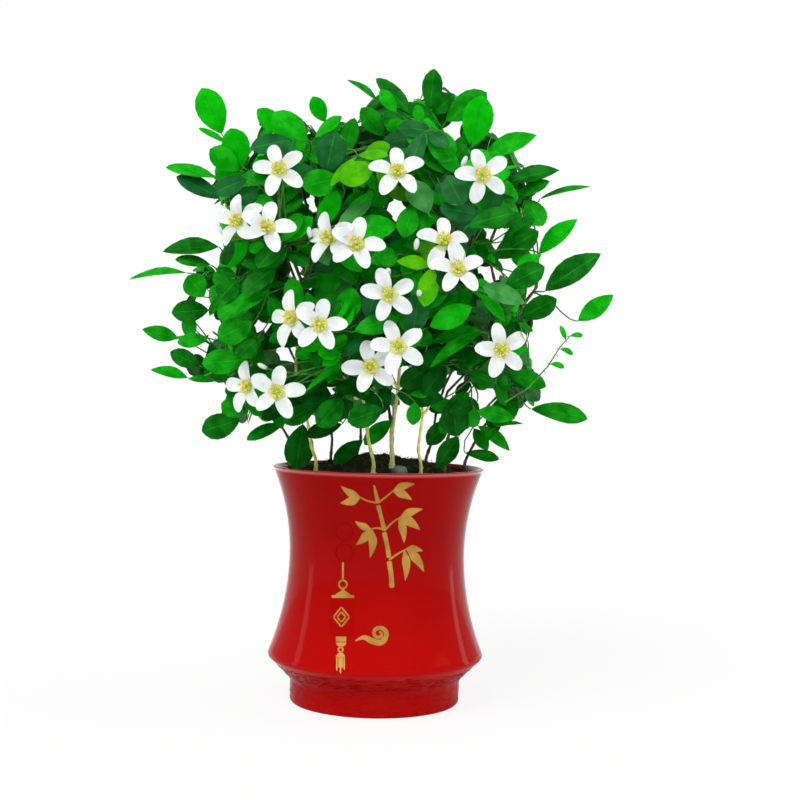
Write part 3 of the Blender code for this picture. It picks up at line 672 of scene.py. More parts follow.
def shader_group(name, inputs, outputs):
    group = bpy.data.node_groups.new(name, "ShaderNodeTree")
    for label, kind, value in inputs:
        socket = group.interface.new_socket(label, in_out="INPUT", socket_type=kind)
        if value is not None:
            socket.default_value = value
    for label, kind in outputs:
        group.interface.new_socket(label, in_out="OUTPUT", socket_type=kind)
    return group, group.nodes.new("NodeGroupInput"), group.nodes.new("NodeGroupOutput")


def linked(tree, kind, settings, sources):
    """A new node with its settings, fed by sockets or plain values."""
    node = tree.nodes.new(kind)
    for key, value in settings.items():
        setattr(node, key, value)
    for key, source in sources.items():
        if isinstance(source, bpy.types.NodeSocket):
            tree.links.new(source, node.inputs[key])
        else:
            node.inputs[key].default_value = source
    return node


def mottling_group():
    """Two colours that run into each other in soft patches, with a finer speckle for gloss and relief."""
    group, inside, outside = shader_group(
        "Mottling",
        (
            ("Place", "NodeSocketVector", None),
            ("Dark", "NodeSocketColor", None),
            ("Light", "NodeSocketColor", None),
            ("Patch Scale", "NodeSocketFloat", 60.0),
            ("Speckle Scale", "NodeSocketFloat", 600.0),
        ),
        (("Colour", "NodeSocketColor"), ("Speckle", "NodeSocketFloat")),
    )
    at = inside.outputs
    patch = linked(
        group, "ShaderNodeTexNoise", {},
        {"Vector": at["Place"], "Scale": at["Patch Scale"], "Detail": 3.0, "Roughness": 0.55},
    )
    soft = linked(
        group, "ShaderNodeMapRange", {"interpolation_type": "SMOOTHSTEP"},
        {"Value": patch.outputs["Fac"], "From Min": 0.34, "From Max": 0.66},
    )
    mixed = linked(
        group, "ShaderNodeMix", {"data_type": "RGBA"},
        {0: soft.outputs["Result"], 6: at["Dark"], 7: at["Light"]},
    )
    speckle = linked(
        group, "ShaderNodeTexNoise", {},
        {"Vector": at["Place"], "Scale": at["Speckle Scale"], "Detail": 2.0},
    )
    group.links.new(mixed.outputs[2], outside.inputs["Colour"])
    group.links.new(speckle.outputs["Fac"], outside.inputs["Speckle"])
    return group


def heights_group():
    """How far up a band of heights a point lies, from 0 below it to 1 above it."""
    group, inside, outside = shader_group(
        "Height Band",
        (
            ("Place", "NodeSocketVector", None),
            ("Lowest", "NodeSocketFloat", 0.0),
            ("Highest", "NodeSocketFloat", 1.0),
        ),
        (("Share", "NodeSocketFloat"),),
    )
    parts = linked(group, "ShaderNodeSeparateXYZ", {}, {"Vector": inside.outputs["Place"]})
    share = linked(
        group, "ShaderNodeMapRange", {"interpolation_type": "SMOOTHSTEP"},
        {
            "Value": parts.outputs["Z"],
            "From Min": inside.outputs["Lowest"],
            "From Max": inside.outputs["Highest"],
        },
    )
    group.links.new(share.outputs["Result"], outside.inputs["Share"])
    return group


MOTTLING = mottling_group()
HEIGHT_BAND = heights_group()


# Materials

# Reds of the glaze: the foot's darker and lighter patches, the dark red of the painted shade in the dents'
# creases, then one red for each place above it
GLAZE_REDS = {
    "foot": ((0.345, 0.0014, 0.0009), (0.375, 0.0018, 0.0012)),
    # Painted shade in the creases of the dents
    "dent": (0.16, 0.0030, 0.0025),
    "belly": (0.400, 0.0022, 0.0016),
    "neck": (0.282, 0.0012, 0.0008),
    "lip": (0.52, 0.050, 0.048),
}
GLAZE_SPECULAR = 0.045
NECK_BAND = (0.030, 0.150)
LIP_BAND = (0.1762, 0.1785)
# The painted crease shade: how flat and how fine its net of creases is, how wide each crease, and how much of
# it the foot keeps
CREASE_FLATNESS = 4.6
CREASE_SCALE = 105.0
CREASE_WIDTH = 0.24
FOOT_CREASE_SHADE = 0.35

# Darker and lighter tone, roughness from and to, and what else differs
FINISHES = {
    "bare_clay": ((0.36, 0.17, 0.10), (0.50, 0.27, 0.17), (0.8, 0.95), {"relief": 0.0001}),
    "gilding": (
        (0.34, 0.17, 0.018), (0.50, 0.27, 0.040), (0.30, 0.42), {"relief": 0.00003, "Metallic": 0.35}
    ),
    "panel_red": (
        (0.325, 0.0010, 0.0010), (0.345, 0.0014, 0.0014), (0.08, 0.12),
        {"patch": 90.0, "Specular_IOR_Level": GLAZE_SPECULAR},
    ),
    "seal_red": (
        (0.235, 0.001, 0.001), (0.255, 0.002, 0.002), (0.1, 0.16),
        {"patch": 90.0, "Specular_IOR_Level": GLAZE_SPECULAR},
    ),
    "dark_soil": (
        (0.006, 0.005, 0.003), (0.045, 0.034, 0.016), (0.85, 1.0),
        {"patch": 300.0, "speckle": 1400.0, "relief": 0.0005},
    ),
    "moss": (
        (0.010, 0.014, 0.004), (0.045, 0.050, 0.012), (0.85, 1.0),
        {"patch": 320.0, "speckle": 1600.0, "relief": 0.0004},
    ),
    "straw": ((0.06, 0.07, 0.015), (0.32, 0.30, 0.08), (0.7, 0.9), {"patch": 260.0}),
    "pebble": ((0.10, 0.14, 0.11), (0.24, 0.30, 0.25), (0.5, 0.7), {"patch": 260.0, "relief": 0.0001}),
    "twig_bark": (
        (0.030, 0.045, 0.010), (0.085, 0.11, 0.025), (0.55, 0.75), {"patch": 300.0, "relief": 0.0001}
    ),
    "leaf_stalk": ((0.02, 0.14, 0.008), (0.07, 0.27, 0.02), (0.4, 0.55), {"patch": 200.0}),
    "petal": (
        (0.66, 0.71, 0.71), (0.80, 0.82, 0.81), (0.45, 0.6),
        {"patch": 90.0, "relief": 0.00004, "Specular_IOR_Level": 0.2},
    ),
    "petal_foot": (
        (0.52, 0.60, 0.28), (0.64, 0.70, 0.46), (0.45, 0.6), {"patch": 200.0, "Specular_IOR_Level": 0.2}
    ),
    "filament": ((0.72, 0.80, 0.36), (0.84, 0.88, 0.60), (0.45, 0.6), {"patch": 300.0}),
    "anther": ((0.68, 0.54, 0.012), (0.85, 0.74, 0.05), (0.6, 0.8), {"patch": 700.0, "relief": 0.0001}),
    "pistil": ((0.26, 0.36, 0.01), (0.62, 0.62, 0.03), (0.4, 0.55), {"patch": 400.0}),
}
BARKS = {
    "cream_bark": ((0.66, 0.66, 0.20), (0.95, 0.95, 0.42)),
    "pale_bark": ((0.52, 0.56, 0.11), (0.82, 0.88, 0.25)),
    "olive_bark": ((0.045, 0.052, 0.014), (0.19, 0.19, 0.050)),
    "dark_bark": ((0.018, 0.018, 0.008), (0.070, 0.062, 0.026)),
    "red_bark": ((0.070, 0.030, 0.015), (0.22, 0.13, 0.06)),
}
# Greens of the leaflets, with how much they mirror; bright, fresh, mid, deep and dusky are one green in
# painted light and shade
GREENS = {
    "bright": ((0.001, 0.39, 0.001), (0.004, 0.50, 0.002), 0.04),
    "fresh": ((0.001, 0.31, 0.001), (0.012, 0.45, 0.009), 0.04),
    "mid": ((0.001, 0.20, 0.001), (0.010, 0.33, 0.008), 0.04),
    "deep": ((0.001, 0.100, 0.002), (0.006, 0.180, 0.007), 0.04),
    "dusky": ((0.001, 0.055, 0.003), (0.003, 0.105, 0.006), 0.04),
    "bluish": ((0.002, 0.080, 0.012), (0.008, 0.135, 0.026), 0.12),
    "young": ((0.045, 0.34, 0.001), (0.10, 0.45, 0.003), 0.04),
    "pale": ((0.022, 0.185, 0.030), (0.058, 0.275, 0.062), 0.12),
}


def mottled(name, dark, light, rough, patch=60.0, speckle=600.0, relief=0.0, stretch=None, **settings):
    """A finish of two tones in patches, with its gloss and its fine relief broken up by a speckle."""
    made = bpy.data.materials.new(name)
    made.use_nodes = True
    tree = made.node_tree
    shader = tree.nodes["Principled BSDF"]
    place = tree.nodes.new("ShaderNodeTexCoord").outputs["Object"]
    if stretch:
        place = linked(tree, "ShaderNodeMapping", {}, {"Vector": place, "Scale": stretch}).outputs["Vector"]
    group = linked(
        tree, "ShaderNodeGroup", {"node_tree": MOTTLING},
        {
            "Place": place, "Dark": (*dark, 1.0), "Light": (*light, 1.0),
            "Patch Scale": patch, "Speckle Scale": speckle,
        },
    )
    tree.links.new(group.outputs["Colour"], shader.inputs["Base Color"])
    speckles = group.outputs["Speckle"]
    gloss = linked(
        tree, "ShaderNodeMapRange", {},
        {"Value": speckles, "From Min": 0.3, "From Max": 0.7, "To Min": rough[0], "To Max": rough[1]},
    )
    tree.links.new(gloss.outputs["Result"], shader.inputs["Roughness"])
    if relief:
        bump = linked(tree, "ShaderNodeBump", {}, {"Height": speckles, "Strength": 1.0, "Distance": relief})
        tree.links.new(bump.outputs["Normal"], shader.inputs["Normal"])
    for key, value in settings.items():
        shader.inputs[key.replace("_", " ")].default_value = value
    return made


def mixed_over(made, share, colour):
    """Lays another colour over a finish where a mask says."""
    tree = made.node_tree
    base = tree.nodes["Principled BSDF"].inputs["Base Color"]
    under = base.links[0].from_socket
    over = linked(
        tree, "ShaderNodeMix", {"data_type": "RGBA"}, {0: share, 6: under, 7: (*colour, 1.0)}
    )
    tree.links.new(over.outputs[2], base)


def height_mask(made, lowest, highest):
    tree = made.node_tree
    place = tree.nodes["Texture Coordinate"].outputs["Object"]
    band = linked(
        tree, "ShaderNodeGroup", {"node_tree": HEIGHT_BAND},
        {"Place": place, "Lowest": lowest, "Highest": highest},
    )
    return band.outputs["Share"]


def glaze_finish():
    """Deep red glaze: brightest on the belly, with painted shade in the creases of the dents, darker on the
    neck, pale on the lip.
    """
    made = mottled(
        "red_glaze", *GLAZE_REDS["foot"], (0.06, 0.09), patch=22.0, speckle=240.0,
        Specular_IOR_Level=GLAZE_SPECULAR, Coat_Roughness=0.04,
    )
    tree = made.node_tree
    place = tree.nodes["Texture Coordinate"].outputs["Object"]
    # Painted shade: a darker red laid along a net of creases on the shoulder and, fainter, on the foot,
    # standing in for the shade of the dents
    flat = linked(tree, "ShaderNodeMapping", {}, {"Vector": place, "Scale": (1.0, 1.0, CREASE_FLATNESS)})
    chips = linked(
        tree, "ShaderNodeTexVoronoi", {"feature": "DISTANCE_TO_EDGE"},
        {"Vector": flat.outputs["Vector"], "Scale": CREASE_SCALE},
    )
    creases = linked(
        tree, "ShaderNodeMapRange", {"interpolation_type": "SMOOTHSTEP"},
        {
            "Value": chips.outputs["Distance"],
            "From Min": 0.0, "From Max": CREASE_WIDTH, "To Min": 0.5, "To Max": 0.0,
        },
    )
    painted_crease_shade = linked(
        tree, "ShaderNodeMath", {"operation": "SUBTRACT", "use_clamp": True},
        {0: creases.outputs["Result"], 1: height_mask(made, BELLY_HEIGHT - 0.009, BELLY_HEIGHT - 0.003)},
    )
    worked = linked(
        tree, "ShaderNodeMapRange", {},
        {
            "Value": height_mask(made, FOOT_HEIGHT - 0.003, FOOT_HEIGHT + 0.002),
            "To Min": FOOT_CREASE_SHADE, "To Max": 1.0,
        },
    )
    painted_crease_shade = linked(
        tree, "ShaderNodeMath", {"operation": "MULTIPLY"},
        {0: painted_crease_shade.outputs["Value"], 1: worked.outputs["Result"]},
    )
    mixed_over(made, painted_crease_shade.outputs["Value"], GLAZE_REDS["dent"])
    mixed_over(made, height_mask(made, BELLY_HEIGHT - 0.010, BELLY_HEIGHT), GLAZE_REDS["belly"])
    mixed_over(made, height_mask(made, *NECK_BAND), GLAZE_REDS["neck"])
    lip = height_mask(made, *LIP_BAND)
    mixed_over(made, lip, GLAZE_REDS["lip"])
    tree.links.new(lip, tree.nodes["Principled BSDF"].inputs["Coat Weight"])
    return made


def finishes():
    """Every finish of the plant and its pot, by name."""
    made = {"red_glaze": glaze_finish()}
    for name, (dark, light, rough, settings) in FINISHES.items():
        made[name] = mottled(name, dark, light, rough, **settings)
    for name, (dark, light) in BARKS.items():
        made[name] = mottled(
            name, dark, light, (0.5, 0.8), patch=420.0, speckle=1300.0, relief=0.00025,
            stretch=(1.0, 1.0, 0.28),
        )
    for tone, (dark, light, specular) in GREENS.items():
        name = "leaf_" + tone
        made[name] = mottled(
            name, dark, light, (0.38, 0.52), patch=110.0, speckle=900.0, relief=0.00004,
            Specular_IOR_Level=specular,
        )
    return made


# Pot

def pot_rings():
    """Radii and heights from the underside, up the outside, over the lip and down to the inner floor."""
    rings = [(FOOT_RADIUS - FOOT_ROUNDING, 0.0)]
    for angle in (30, 60, 90):
        swing = math.radians(angle)
        rings.append((
            FOOT_RADIUS - FOOT_ROUNDING * (1 - math.sin(swing)), FOOT_ROUNDING * (1 - math.cos(swing))
        ))
    straight = steps(FOOT_ROUNDING, FOOT_HEIGHT - FOOT_ROUNDING, FOOT_RINGS)[1:]
    rings += [(FOOT_RADIUS, height) for height in straight]
    rings.append((FOOT_RADIUS + 0.25 * FOOT_ROUNDING, FOOT_HEIGHT))
    shoulder = (FOOT_RADIUS + FOOT_ROUNDING, FOOT_HEIGHT + FOOT_ROUNDING)
    edge = (BELLY_RADIUS - BELLY_ROUNDING, SHOULDER_TOP)
    for share in steps(0.0, 1.0, SHOULDER_RINGS):
        rings.append(tuple(a + (b - a) * share for a, b in zip(shoulder, edge)))
    for inward, down in BELLY_CURVE:
        rings.append((BELLY_RADIUS - inward * BELLY_ROUNDING, BELLY_HEIGHT - down * BELLY_ROUNDING))
    lip = WALL / 2
    rings += [(body_radius(height), height) for height in steps(BELLY_HEIGHT, POT_HEIGHT - lip, BODY_RINGS)]
    for angle in steps(0, 180, LIP_RINGS)[1:-1]:
        swing = math.radians(angle)
        rings.append((RIM_RADIUS - lip + lip * math.cos(swing), POT_HEIGHT - lip + lip * math.sin(swing)))
    for height in steps(POT_HEIGHT - lip, BELLY_HEIGHT + WALL, INNER_RINGS):
        rings.append((body_radius(height) - WALL, height))
    rings += [(FOOT_RADIUS - WALL, FLOOR_THICKNESS + WALL), (FOOT_RADIUS - 2 * WALL, FLOOR_THICKNESS)]
    return rings


def dent(point):
    """How far the hand-worked dents of the shoulder and the foot go in at a point."""
    out = math.hypot(point.x, point.y)
    if point.z > SHOULDER_TOP or point.z < FOOT_ROUNDING or out < FOOT_RADIUS - WALL / 2:
        return 0.0
    spot = Vector([way / out * BELLY_RADIUS / DENT_LENGTH for way in point.xy] + [0.0])
    rows = point.z / DENT_HEIGHT + 1.2 * noise.noise(spot * 0.3)
    crease = 1.0 - min(abs(noise.noise(spot + Vector((0.0, 0.0, rows)))) * 4.0, 1.0)
    swell = noise.noise(spot * 0.6 + Vector((7.0, 0.0, rows * 0.5)))
    above, below = DENT_FADES
    fade = min((SHOULDER_TOP - point.z) / above, (point.z - FOOT_ROUNDING) / below, 1.0)
    depth = FOOT_DENT_DEPTH if point.z < FOOT_HEIGHT + FOOT_ROUNDING else DENT_DEPTH
    return depth * fade * (0.55 * crease**1.5 - 0.45 * swell)


def model_pot(finish):
    pot = drawn_up("glazed_pot", pot_rings(), POT_SIDES)
    for vert in pot.data.vertices:
        out = Vector((vert.co.x, vert.co.y, 0.0))
        if out.length > WALL:
            vert.co -= out.normalized() * dent(vert.co)
    surfaced(pot, finish["red_glaze"], finish["bare_clay"])
    second_surface(pot, lambda face: face.center.z < FOOT_ROUNDING / 8)
    settle(pot, POT_SMOOTHING, "red_glaze", "pot")


def leaf_stroke(name, base, tip, half):
    """A pointed brush leaf that swells near its base."""
    base, tip = Vector(base), Vector(tip)
    bend = Vector((tip.y - base.y, base.x - tip.x)) * CANE_LEAF_BEND
    rows = []
    for share, width in CANE_LEAF_WIDTHS:
        spot = base.lerp(tip, share) + bend * 4 * share * (1 - share)
        rows.append((spot.x, spot.y, half * width))
    return stroke(name, rows)


def gilded(strokes, name, finish):
    """Joins strokes into one gilt piece on the glaze."""
    piece = surfaced(joined(strokes, name), finish["gilding"])
    settle(piece, FLAT_SMOOTHING, "red_glaze")


def model_sprig(finish):
    """A plain brushed bamboo sprig, the pot's main ornament."""
    strokes = [stroke("cane", knots) for knots in CANE]
    strokes += [stroke("cane_twig", knots) for knots in CANE_TWIGS]
    strokes += [leaf_stroke("cane_leaf", *row) for row in CANE_LEAVES]
    gilded(strokes, "gilt_sprig", finish)


def ring_stroke(name, column, row, radius, half):
    knots = [
        (column + radius * math.sin(turn), row - radius * math.cos(turn), half)
        for turn in steps(0.0, math.tau * 1.02, 20)
    ]
    return stroke(name, knots, 44)


def slab(name, rows, lift=GILT_LIFT):
    """A flat shape on the pot's front, from rows of left column, right column and height in pixels."""

    def place(share, side):
        left, right, row = along_line(rows, share)
        return on_pot((left + right) / 2 + (right - left) / 2 * side, row, lift)

    return strip(name, place, 12, 10)


def model_pendant(finish):
    """The hanging ornament: cord, ring, eave, panel with a plain knot, and a tassel."""
    mid = PENDANT_COLUMN
    strokes = [
        stroke("cord", ((mid, 562, 0.9), (mid, 571, 0.9), (mid, 579.5, 0.9))),
        ring_stroke("ring", mid, 584.4, 4.0, 0.8),
        stroke("hook", ((mid, 588.5, 0.8), (mid, 590, 1.6), (mid, 591.5, 2.2)), 8),
        slab("dome", [(mid - half, mid + half, row) for half, row in DOME]),
        slab("eave", [(mid + left, mid + right, row) for left, right, row in EAVE]),
        slab("tassel_head", TASSEL_HEAD),
        slab("tassel_foot", TASSEL_FOOT),
        ring_stroke("tassel_ring", 340.7, 649.7, 2.3, 0.75),
        slab("tassel_top", TASSEL_TOP),
    ]
    for column, end in FRINGE:
        strokes.append(stroke("fringe", ((column, 655, 0.7), (column, 664, 0.75), (column, end, 0.6)), 10))
    for size in KNOT_SIZES:
        corners = [(KNOT[0] + size * x, KNOT[1] + size * KNOT_HEIGHT * y) for x, y in DIAMOND]
        for a, b in zip(corners, corners[1:] + corners[:1]):
            middle = ((a[0] + b[0]) / 2, (a[1] + b[1]) / 2)
            strokes.append(stroke("knot", ((*a, 0.8), (*middle, 0.8), (*b, 0.8)), 8))
    gilded(strokes, "gilt_pendant", finish)
    rows = [(PANEL_SIDES[0] + inset, PANEL_SIDES[1] - inset, row) for inset, row in PANEL_ROWS]
    panel = surfaced(slab("pendant_panel", rows, GILT_LIFT / 3), finish["panel_red"])
    settle(panel, FLAT_SMOOTHING, "red_glaze")


def model_cloud(finish):
    """The scroll cloud, a curl that opens into a tail."""
    curl = []
    for share in steps(0.0, 1.0, 18):
        turn = math.tau * CLOUD_TURNS * share
        radius = CLOUD_EYE + (CLOUD_RADIUS - CLOUD_EYE) * share**0.9
        column = CLOUD_MIDDLE[0] + radius * math.sin(turn)
        row = CLOUD_MIDDLE[1] - radius * math.cos(turn) * 0.92
        curl.append((column, row, 1.0 + 1.5 * share))
    gilded([stroke("curl", curl, 60), stroke("tail", CLOUD_TAIL)], "gilt_cloud", finish)


def model_seals(finish):
    """Two faint plain rings in the glaze."""
    rings = [ring_stroke("seal", SEAL_COLUMN, row, 8.5, 0.45) for row in SEAL_ROWS]
    settle(surfaced(joined(rings, "seal_rings"), finish["seal_red"]), FLAT_SMOOTHING, "red_glaze")


# Meshes of many small things, joined from arrays

def shape_of(piece):
    """Points, faces and face slots of a modelled piece, which is then removed."""
    mesh = piece.data
    points = np.empty(len(mesh.vertices) * 3)
    mesh.vertices.foreach_get("co", points)
    faces = [tuple(face.vertices) for face in mesh.polygons]
    slots = [face.material_index for face in mesh.polygons]
    bpy.data.objects.remove(piece)
    return points.reshape(-1, 3), faces, slots


def placed(name, data):
    """A new object of the scene that holds this data."""
    thing = bpy.data.objects.new(name, data)
    bpy.context.scene.collection.objects.link(thing)
    return thing


def moved(points, matrix):
    """Points carried along by a 4 by 4 matrix."""
    return points @ matrix[:3, :3].T + matrix[:3, 3]


def gathered(name, copies, surfaces):
    """One piece from many copies of small shapes, each with its own 4 by 4 matrix."""
    points, faces, slots, first = [], [], [], 0
    for (corners, rows, rows_slots), matrix in copies:
        points.append(moved(corners, np.array(matrix)))
        faces.extend([tuple(first + i for i in row) for row in rows])
        slots.extend(rows_slots)
        first += len(corners)
    mesh = bpy.data.meshes.new(name)
    mesh.from_pydata(np.concatenate(points).tolist(), [], faces)
    piece = surfaced(placed(name, mesh), *surfaces)
    mesh.polygons.foreach_set("material_index", slots)
    return piece


def search_tree(points, faces):
    return BVHTree.FromPolygons(points.tolist(), faces)


def tube_shape(line, radii, sides):
    """A closed tapering tube along a line of points."""
    points, faces = [], []
    ahead = (line[1] - line[0]).normalized()
    side = ahead.orthogonal().normalized()
    for i, (point, radius) in enumerate(zip(line, radii)):
        now = (line[min(i + 1, len(line) - 1)] - line[max(i - 1, 0)]).normalized()
        side = (side - now * side.dot(now)).normalized()
        other = now.cross(side)
        for k in range(sides):
            turn = math.tau * k / sides
            points.append(point + (side * math.cos(turn) + other * math.sin(turn)) * radius)
    for i in range(len(line) - 1):
        for k in range(sides):
            a, b = i * sides + k, i * sides + (k + 1) % sides
            faces.append((a, b, b + sides, a + sides))
    last = (len(line) - 1) * sides
    faces.append(tuple(range(sides))[::-1])
    faces.append(tuple(last + k for k in range(sides)))
    return np.array(points), faces, [0] * len(faces)


STILL = np.identity(4)


# Soil

def mound_height(x, y):
    height = soil_height(math.hypot(x, y))
    for centre_x, centre_y, spread, rise in MOSS_MOUNDS:
        away = ((x - centre_x) ** 2 + (y - centre_y) ** 2) / spread**2
        height += rise * math.exp(-away)
    return height


def soil_point(x, y):
    edge = 1.0 - min(math.hypot(x, y) / RIM_RADIUS, 1.0)
    rough = noise.fractal(Vector((x, y, 0.3)) * 110, 0.8, 2.2, 4) * SOIL_BUMP * min(edge * 8, 1.0)
    return Vector((x, y, mound_height(x, y) + rough))


def mossy(face):
    """True where a mound heaps the soil up enough for moss."""
    x, y = face.center.xy
    return mound_height(x, y) - soil_height(math.hypot(x, y)) > MOSS_FROM


def model_soil(finish):
    deselect_all()
    bpy.ops.mesh.primitive_grid_add(x_subdivisions=SOIL_GRID, y_subdivisions=SOIL_GRID, size=2)
    soil = named("potting_soil")
    with editing():
        bpy.ops.mesh.extrude_region_move(TRANSFORM_OT_translate={"value": (0.0, 0.0, 1.0)})
    top_edge = body_radius(SOIL_EDGE_HEIGHT) - WALL - CLEARANCE
    low_edge = body_radius(SOIL_BOTTOM) - WALL - 2 * CLEARANCE
    for vert in soil.data.vertices:
        x, y = vert.co.x, vert.co.y
        round_x, round_y = x * math.sqrt(1 - y * y / 2), y * math.sqrt(1 - x * x / 2)
        if vert.co.z > 0.5:
            vert.co = soil_point(round_x * top_edge, round_y * top_edge)
        else:
            vert.co = (round_x * low_edge, round_y * low_edge, SOIL_BOTTOM)
    fix_normals(soil)
    surfaced(soil, finish["dark_soil"], finish["moss"])
    second_surface(soil, mossy)
    settle(soil, ROUGH_SMOOTHING, "potting_soil", "soil")


def crumb_copies(rng):
    """Loose crumbs all over the soil."""
    deselect_all()
    bpy.ops.mesh.primitive_ico_sphere_add(subdivisions=1, radius=1.0)
    crumb = shape_of(named("crumb"))
    places = []
    while len(places) < CRUMBS:
        x, y = (rng.uniform(-RIM_RADIUS, RIM_RADIUS) for _ in "xy")
        if math.hypot(x, y) < RIM_RADIUS - 2.2 * WALL:
            places.append(soil_point(x, y))
    copies = []
    for place in places:
        size = rng.uniform(*CRUMB_SIZE)
        turn = Matrix.Rotation(rng.uniform(0, math.tau), 4, scatter(rng, 1).normalized())
        scale = Matrix.Diagonal((size, size * rng.uniform(0.6, 1.0), size * rng.uniform(0.5, 0.8), 1.0))
        copies.append((crumb, Matrix.Translation(place) @ turn @ scale))
    return copies


def fibre_copies(rng):
    """Fine fibres that lean and sag every way on the mounds."""
    copies = []
    for _ in range(FIBRES):
        mound = rng.choice(MOSS_MOUNDS)
        x, y = (mound[i] + rng.gauss(0, 0.55) * mound[2] for i in (0, 1))
        if math.hypot(x, y) > RIM_RADIUS - 3 * WALL:
            continue
        start = soil_point(x, y) - upward(0.0005)
        lean = Vector((rng.gauss(0, 0.9), rng.gauss(0, 0.9), 1.0)).normalized()
        length = rng.uniform(*FIBRE_LENGTH)
        sag = Vector((rng.gauss(0, 0.3), rng.gauss(0, 0.3), -0.6)) * length * 0.5
        line = [start + lean * length * t + sag * t * t for t in (0.0, 0.35, 0.7, 1.0)]
        copies.append((tube_shape(line, FIBRE_RADII, 3), STILL))
    return copies


def model_litter(finish):
    """Loose crumbs, fine fibres and one pebble on the soil."""
    rng = random.Random(11)
    crumbs = gathered("soil_crumbs", crumb_copies(rng), [finish["dark_soil"]])
    settle(crumbs, FLAT_SMOOTHING, "potting_soil")
    fibres = gathered("moss_fibres", fibre_copies(rng), [finish["straw"]])
    settle(fibres, SMALL_SMOOTHING, "potting_soil")
    deselect_all()
    bpy.ops.mesh.primitive_ico_sphere_add(subdivisions=3, radius=1.0)
    pebble = named("pebble")
    for vert in pebble.data.vertices:
        lump = 1.0 + PEBBLE_LUMPS * noise.noise(vert.co * 1.4)
        vert.co = Vector([place * size for place, size in zip(vert.co, PEBBLE_SIZE)]) * lump
        vert.co += Vector((*PEBBLE_PLACE, soil_height(PEBBLE_OUT) + PEBBLE_LIFT))
    settle(surfaced(pebble, finish["pebble"]), ROUGH_SMOOTHING, "potting_soil")


# Stems and boughs, by the same rule as the solids

def bent(start, rise, way, end, count):
    """Points of a cubic curve that leaves its start along one direction and meets its end along another."""
    reach = (end - start).length
    first, second = start + rise * reach * BOUGH_RISE, end - way * reach * BOUGH_ARRIVAL
    points = []
    for share in steps(0.0, 1.0, count):
        t = 0.5 - 0.5 * math.cos(math.pi * share)
        near = start * (1 - t) ** 3 + first * 3 * t * (1 - t) ** 2
        points.append(near + second * 3 * t**2 * (1 - t) + end * t**3)
    return points


def outward(point):
    return (point - CROWN_HEART).normalized()


def crown_spaces():
    """Name and seed of each mass, which keeps near the points that are closest to its own seed."""
    spaces = []
    for ring, count, height, across, back, turn in RINGS:
        for i in range(count):
            angle = turn + math.tau * i / count
            sway = RING_SWAY * math.sin(RING_SWAY_STEP * i + count)
            seed = Vector((across * math.cos(angle), back * math.sin(angle), height + sway))
            spaces.append((f"foliage_{ring}_{i + 1:02d}", seed))
    return spaces


def nearest(spaces, point):
    return min(range(len(spaces)), key=lambda i: (spaces[i][1] - point).length_squared)


def share_out(spaces):
    """Gives each stem a high mass for its leader and a low one for its side bough."""
    aims = [Vector(row[2:4]) * AIM for row in STEMS]

    def cost(stem, space):
        return (spaces[space][1].xy - aims[stem]).length_squared

    by_height = sorted(range(len(spaces)), key=lambda k: -spaces[k][1].z)
    shared = []
    for level in (by_height[: len(STEMS)], by_height[len(STEMS):]):
        changed = True
        while changed:
            changed = False
            for i, j in itertools.combinations(range(len(STEMS)), 2):
                now = cost(i, level[i]) + cost(j, level[j])
                if cost(i, level[j]) + cost(j, level[i]) < now - SMALLEST_GAIN:
                    level[i], level[j] = level[j], level[i]
                    changed = True
        shared.append(level)
    return shared


def shoot_ends(seed):
    """Where a mass's own stem starts and ends."""
    way = (outward(seed) + upward(SHOOT_LIFT)).normalized()
    return seed - way * SHOOT_BEHIND, seed + way * SHOOT_AHEAD


def shoot_inside(seed):
    """The same, with the end drawn in until it and its twigs show inside the crown's edge."""
    root, end = shoot_ends(seed)
    while not inside_edge(root.lerp(end, TWIG_MARGIN)):
        end = end.lerp(root, 0.15)
    return root, end


def stem_limb(row):
    """Points and radii of a stem, from its flared foot on the soil to its fork."""
    foot_x, foot_y, fork_x, fork_y, fork_z, thickness = row
    radius = thickness / 2
    ground = soil_height(math.hypot(foot_x, foot_y)) + 2 * CLEARANCE
    points = [Vector((foot_x, foot_y, ground + height)) for height in FLARE_HEIGHTS]
    radii = [radius * FLARE, radius * (1 + (FLARE - 1) * FLARE_MIDDLE), radius]
    start = points[-1]
    end = Vector((fork_x, fork_y, fork_z))
    across = Vector((end.y - start.y, start.x - end.x, 0.0)).normalized()
    for t in steps(0.0, 1.0, STEM_SPANS)[1:]:
        sway = STEM_SWAY * math.sin(math.tau * t * STEM_SWAY_TURNS) * (1 - t)
        lean = t**STEM_LEAN_POWER
        points.append(start.lerp(end, t) + (end - start) * (lean - t) * Vector((1, 1, 0)) + across * sway)
        radii.append(radius * (1 + (STEM_TAPER - 1) * t))
    return points, radii


def bough_limbs(stem_points, stem_radii, leader_seed, side_seed):
    """The leader goes on from the stem's tip, and the side bough leaves the stem a little lower."""
    tip, tip_radius = stem_points[-1], stem_radii[-1]
    rise = (stem_points[-1] - stem_points[-2]).normalized()
    leader_root, leader_end = shoot_ends(leader_seed)
    arrival = (leader_end - leader_root).normalized()
    leader = bent(tip, rise, arrival, leader_root, BOUGH_SPANS)
    fork = stem_points[-2].lerp(stem_points[-1], SIDE_BOUGH_AT)
    side_root, side_end = shoot_ends(side_seed)
    arrival = (side_end - side_root).normalized()
    flat = Vector((side_root.x - fork.x, side_root.y - fork.y, 0.0)).normalized()
    heading = (flat + rise * SIDE_BOUGH_RISE).normalized()
    start = fork + heading * (stem_radii[-2] * SIDE_BOUGH_OUT + 3 * CLEARANCE)
    side = [fork] + bent(start, heading, arrival, side_root, BOUGH_SPANS)
    side_radii = steps(stem_radii[-2] * SIDE_BOUGH_THICKNESS, BOUGH_TIP, BOUGH_SPANS)
    return (leader, steps(tip_radius, BOUGH_TIP, BOUGH_SPANS)), (side, [side_radii[0]] + side_radii)


